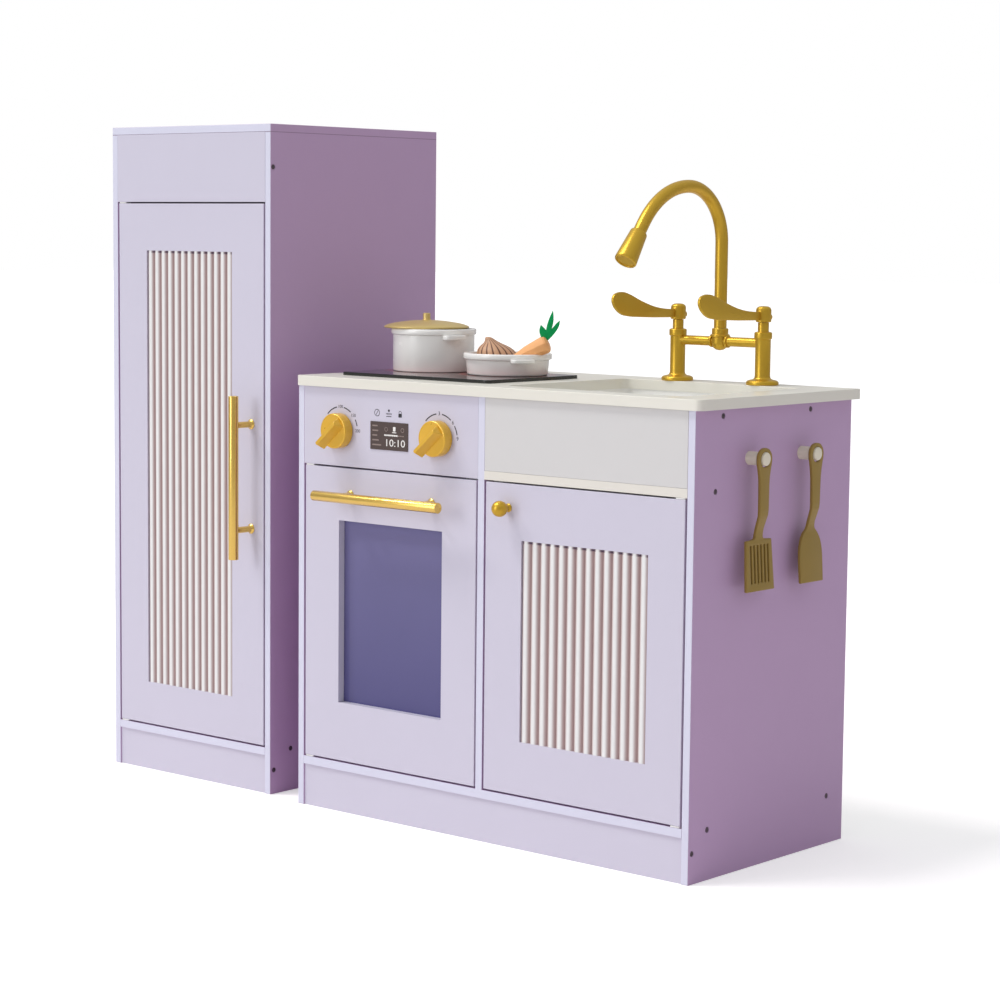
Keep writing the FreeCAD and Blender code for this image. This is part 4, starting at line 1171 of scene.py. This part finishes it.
class KITCHEN_OT_stage(bpy.types.Operator):
    """Pale floor, soft studio light and the camera"""

    bl_idname = "toy_kitchen.stage"
    bl_label = "Stage"

    CAMERA_SPOT = (2213.81, -2205.37, 702.06)
    CAMERA_LENS = 92.933
    LAMPS = (
        ("key_sun", "SUN", (-0.95, -0.9, 2.6), (0, 0, 0), 1.0, (1.0, 0.985, 0.96),
         {"angle": math.radians(14)}),
        ("side_sun", "SUN", (-0.6, -0.35, 0.73), (0, 0, 0), 0.55, (1.0, 0.98, 0.97),
         {"angle": math.radians(7)}),
        ("front_softbox", "AREA", (-1.2, -3.4, 1.3), (0, 0, 0.35), 33, (0.97, 0.985, 1.0),
         {"shape": "RECTANGLE", "size": 1.3, "size_y": 2.2}),
    )

    def floor(self):
        """A pale floor that fades to the even backdrop further out."""
        deselect()
        bpy.ops.mesh.primitive_plane_add(size=60, location=(0, 0, -0.0002))
        floor = bpy.context.object
        floor.name = "studio_floor"
        material = bpy.data.materials.new("studio_floor_finish")
        material.use_nodes = True
        tree = material.node_tree
        shader = next(n for n in tree.nodes if n.type == "BSDF_PRINCIPLED")
        place_node = node(tree, "ShaderNodeTexCoord")
        away = node(tree, "ShaderNodeVectorMath", operation="LENGTH")
        link(tree, place_node.outputs["Object"], away.inputs[0])
        fade = node(tree, "ShaderNodeMapRange", interpolation_type="SMOOTHSTEP")
        fade.inputs["From Min"].default_value = 1.0
        fade.inputs["From Max"].default_value = 3.5
        link(tree, away.outputs["Value"], fade.inputs["Value"])
        colour = blend_colours(tree, fade.outputs["Result"], (0.83, 0.78, 0.80), (0.5, 0.5, 0.5))
        seen = node(tree, "ShaderNodeLightPath")
        glow = blend_colours(tree, fade.outputs["Result"], (0.385, 0.41, 0.39), (0.66, 0.66, 0.66))
        glow = blend_colours(tree, seen.outputs["Is Camera Ray"], (0.0, 0.0, 0.0), glow)
        link(tree, colour, shader.inputs["Base Color"])
        link(tree, glow, shader.inputs["Emission Color"])
        shader.inputs["Emission Strength"].default_value = 1.0
        shader.inputs["Roughness"].default_value = 0.9
        shader.inputs["Specular IOR Level"].default_value = 0.0
        floor.data.materials.append(material)

    def world(self):
        """Soft sky light that brightens upwards, seen as plain white."""
        world = bpy.data.worlds.new("studio")
        bpy.context.scene.world = world
        world.use_nodes = True
        tree = world.node_tree
        background = tree.nodes["Background"]
        direction = node(tree, "ShaderNodeTexCoord")
        split = node(tree, "ShaderNodeSeparateXYZ")
        link(tree, direction.outputs["Generated"], split.inputs[0])
        sky = blend_colours(tree, split.outputs["Z"], (0.39, 0.37, 0.385), (0.70, 0.72, 0.75))
        link(tree, sky, background.inputs["Color"])
        seen = node(tree, "ShaderNodeBackground")
        seen.inputs["Color"].default_value = (1, 1, 1, 1)
        rays = node(tree, "ShaderNodeLightPath")
        mix = node(tree, "ShaderNodeMixShader")
        link(tree, rays.outputs["Is Camera Ray"], mix.inputs[0])
        link(tree, background.outputs[0], mix.inputs[1])
        link(tree, seen.outputs[0], mix.inputs[2])
        link(tree, mix.outputs[0], tree.nodes["World Output"].inputs["Surface"])

    def lamp(self, name, kind, where, aim, energy, colour, values):
        data = bpy.data.lights.new(name, kind)
        data.energy = energy
        data.color = colour
        for key, value in values.items():
            setattr(data, key, value)
        lamp = bpy.data.objects.new(name, data)
        bpy.context.scene.collection.objects.link(lamp)
        lamp.location = where
        lamp.rotation_euler = (Vector(aim) - Vector(where)).to_track_quat("-Z", "Y").to_euler()

    def camera(self):
        azimuth, pitch, roll = 0.709064989, 0.104116159, 0.010025316
        right = Vector((math.cos(azimuth), math.sin(azimuth), 0))
        level = Vector((-math.sin(azimuth), math.cos(azimuth), 0))
        ahead = level * math.cos(pitch) - UP * math.sin(pitch)
        up = right.cross(ahead)
        right, up = (
            math.cos(roll) * right + math.sin(roll) * up,
            math.cos(roll) * up - math.sin(roll) * right,
        )
        data = bpy.data.cameras.new("studio_camera")
        data.lens = self.CAMERA_LENS
        data.sensor_width = 36
        camera = bpy.data.objects.new("studio_camera", data)
        turn = Matrix((right, up, -ahead)).transposed().to_4x4()
        camera.matrix_world = Matrix.Translation(from_corner(*self.CAMERA_SPOT)) @ turn
        bpy.context.scene.collection.objects.link(camera)
        bpy.context.scene.camera = camera

    def execute(self, context):
        self.floor()
        self.world()
        for lamp in self.LAMPS:
            self.lamp(*lamp)
        context.scene.view_settings.view_transform = "Standard"
        self.camera()
        return {"FINISHED"}


class KITCHEN_PT_panel(bpy.types.Panel):
    """Lists the pieces of the toy kitchen"""

    bl_label = "Toy kitchen"
    bl_idname = "KITCHEN_PT_panel"
    bl_space_type = "VIEW_3D"
    bl_region_type = "UI"
    bl_category = "Toy kitchen"

    def draw(self, context):
        layout = self.layout
        for settings in (context.scene.toy_kitchen_colours, context.scene.toy_kitchen_sizes):
            for name in settings.__annotations__:
                layout.prop(settings, name)
        for operator in OPERATORS:
            layout.operator(operator.bl_idname)


OPERATORS = (
    KITCHEN_OT_stage, KITCHEN_OT_boards, KITCHEN_OT_handles, KITCHEN_OT_dials, KITCHEN_OT_tap,
    KITCHEN_OT_print, KITCHEN_OT_fittings, KITCHEN_OT_utensils, KITCHEN_OT_cookware,
    KITCHEN_OT_vegetables,
)
CLASSES = (ToyKitchenColours, ToyKitchenSizes, *OPERATORS, KITCHEN_PT_panel)


def register():
    for each in CLASSES:
        bpy.utils.register_class(each)
    bpy.types.Scene.toy_kitchen_colours = PointerProperty(type=ToyKitchenColours)
    bpy.types.Scene.toy_kitchen_sizes = PointerProperty(type=ToyKitchenSizes)


def unregister():
    del bpy.types.Scene.toy_kitchen_sizes
    del bpy.types.Scene.toy_kitchen_colours
    for each in reversed(CLASSES):
        bpy.utils.unregister_class(each)


def main():
    register()
    for operator in OPERATORS:
        group, name = operator.bl_idname.split(".")
        getattr(getattr(bpy.ops, group), name)()


if __name__ == "__main__":
    main()
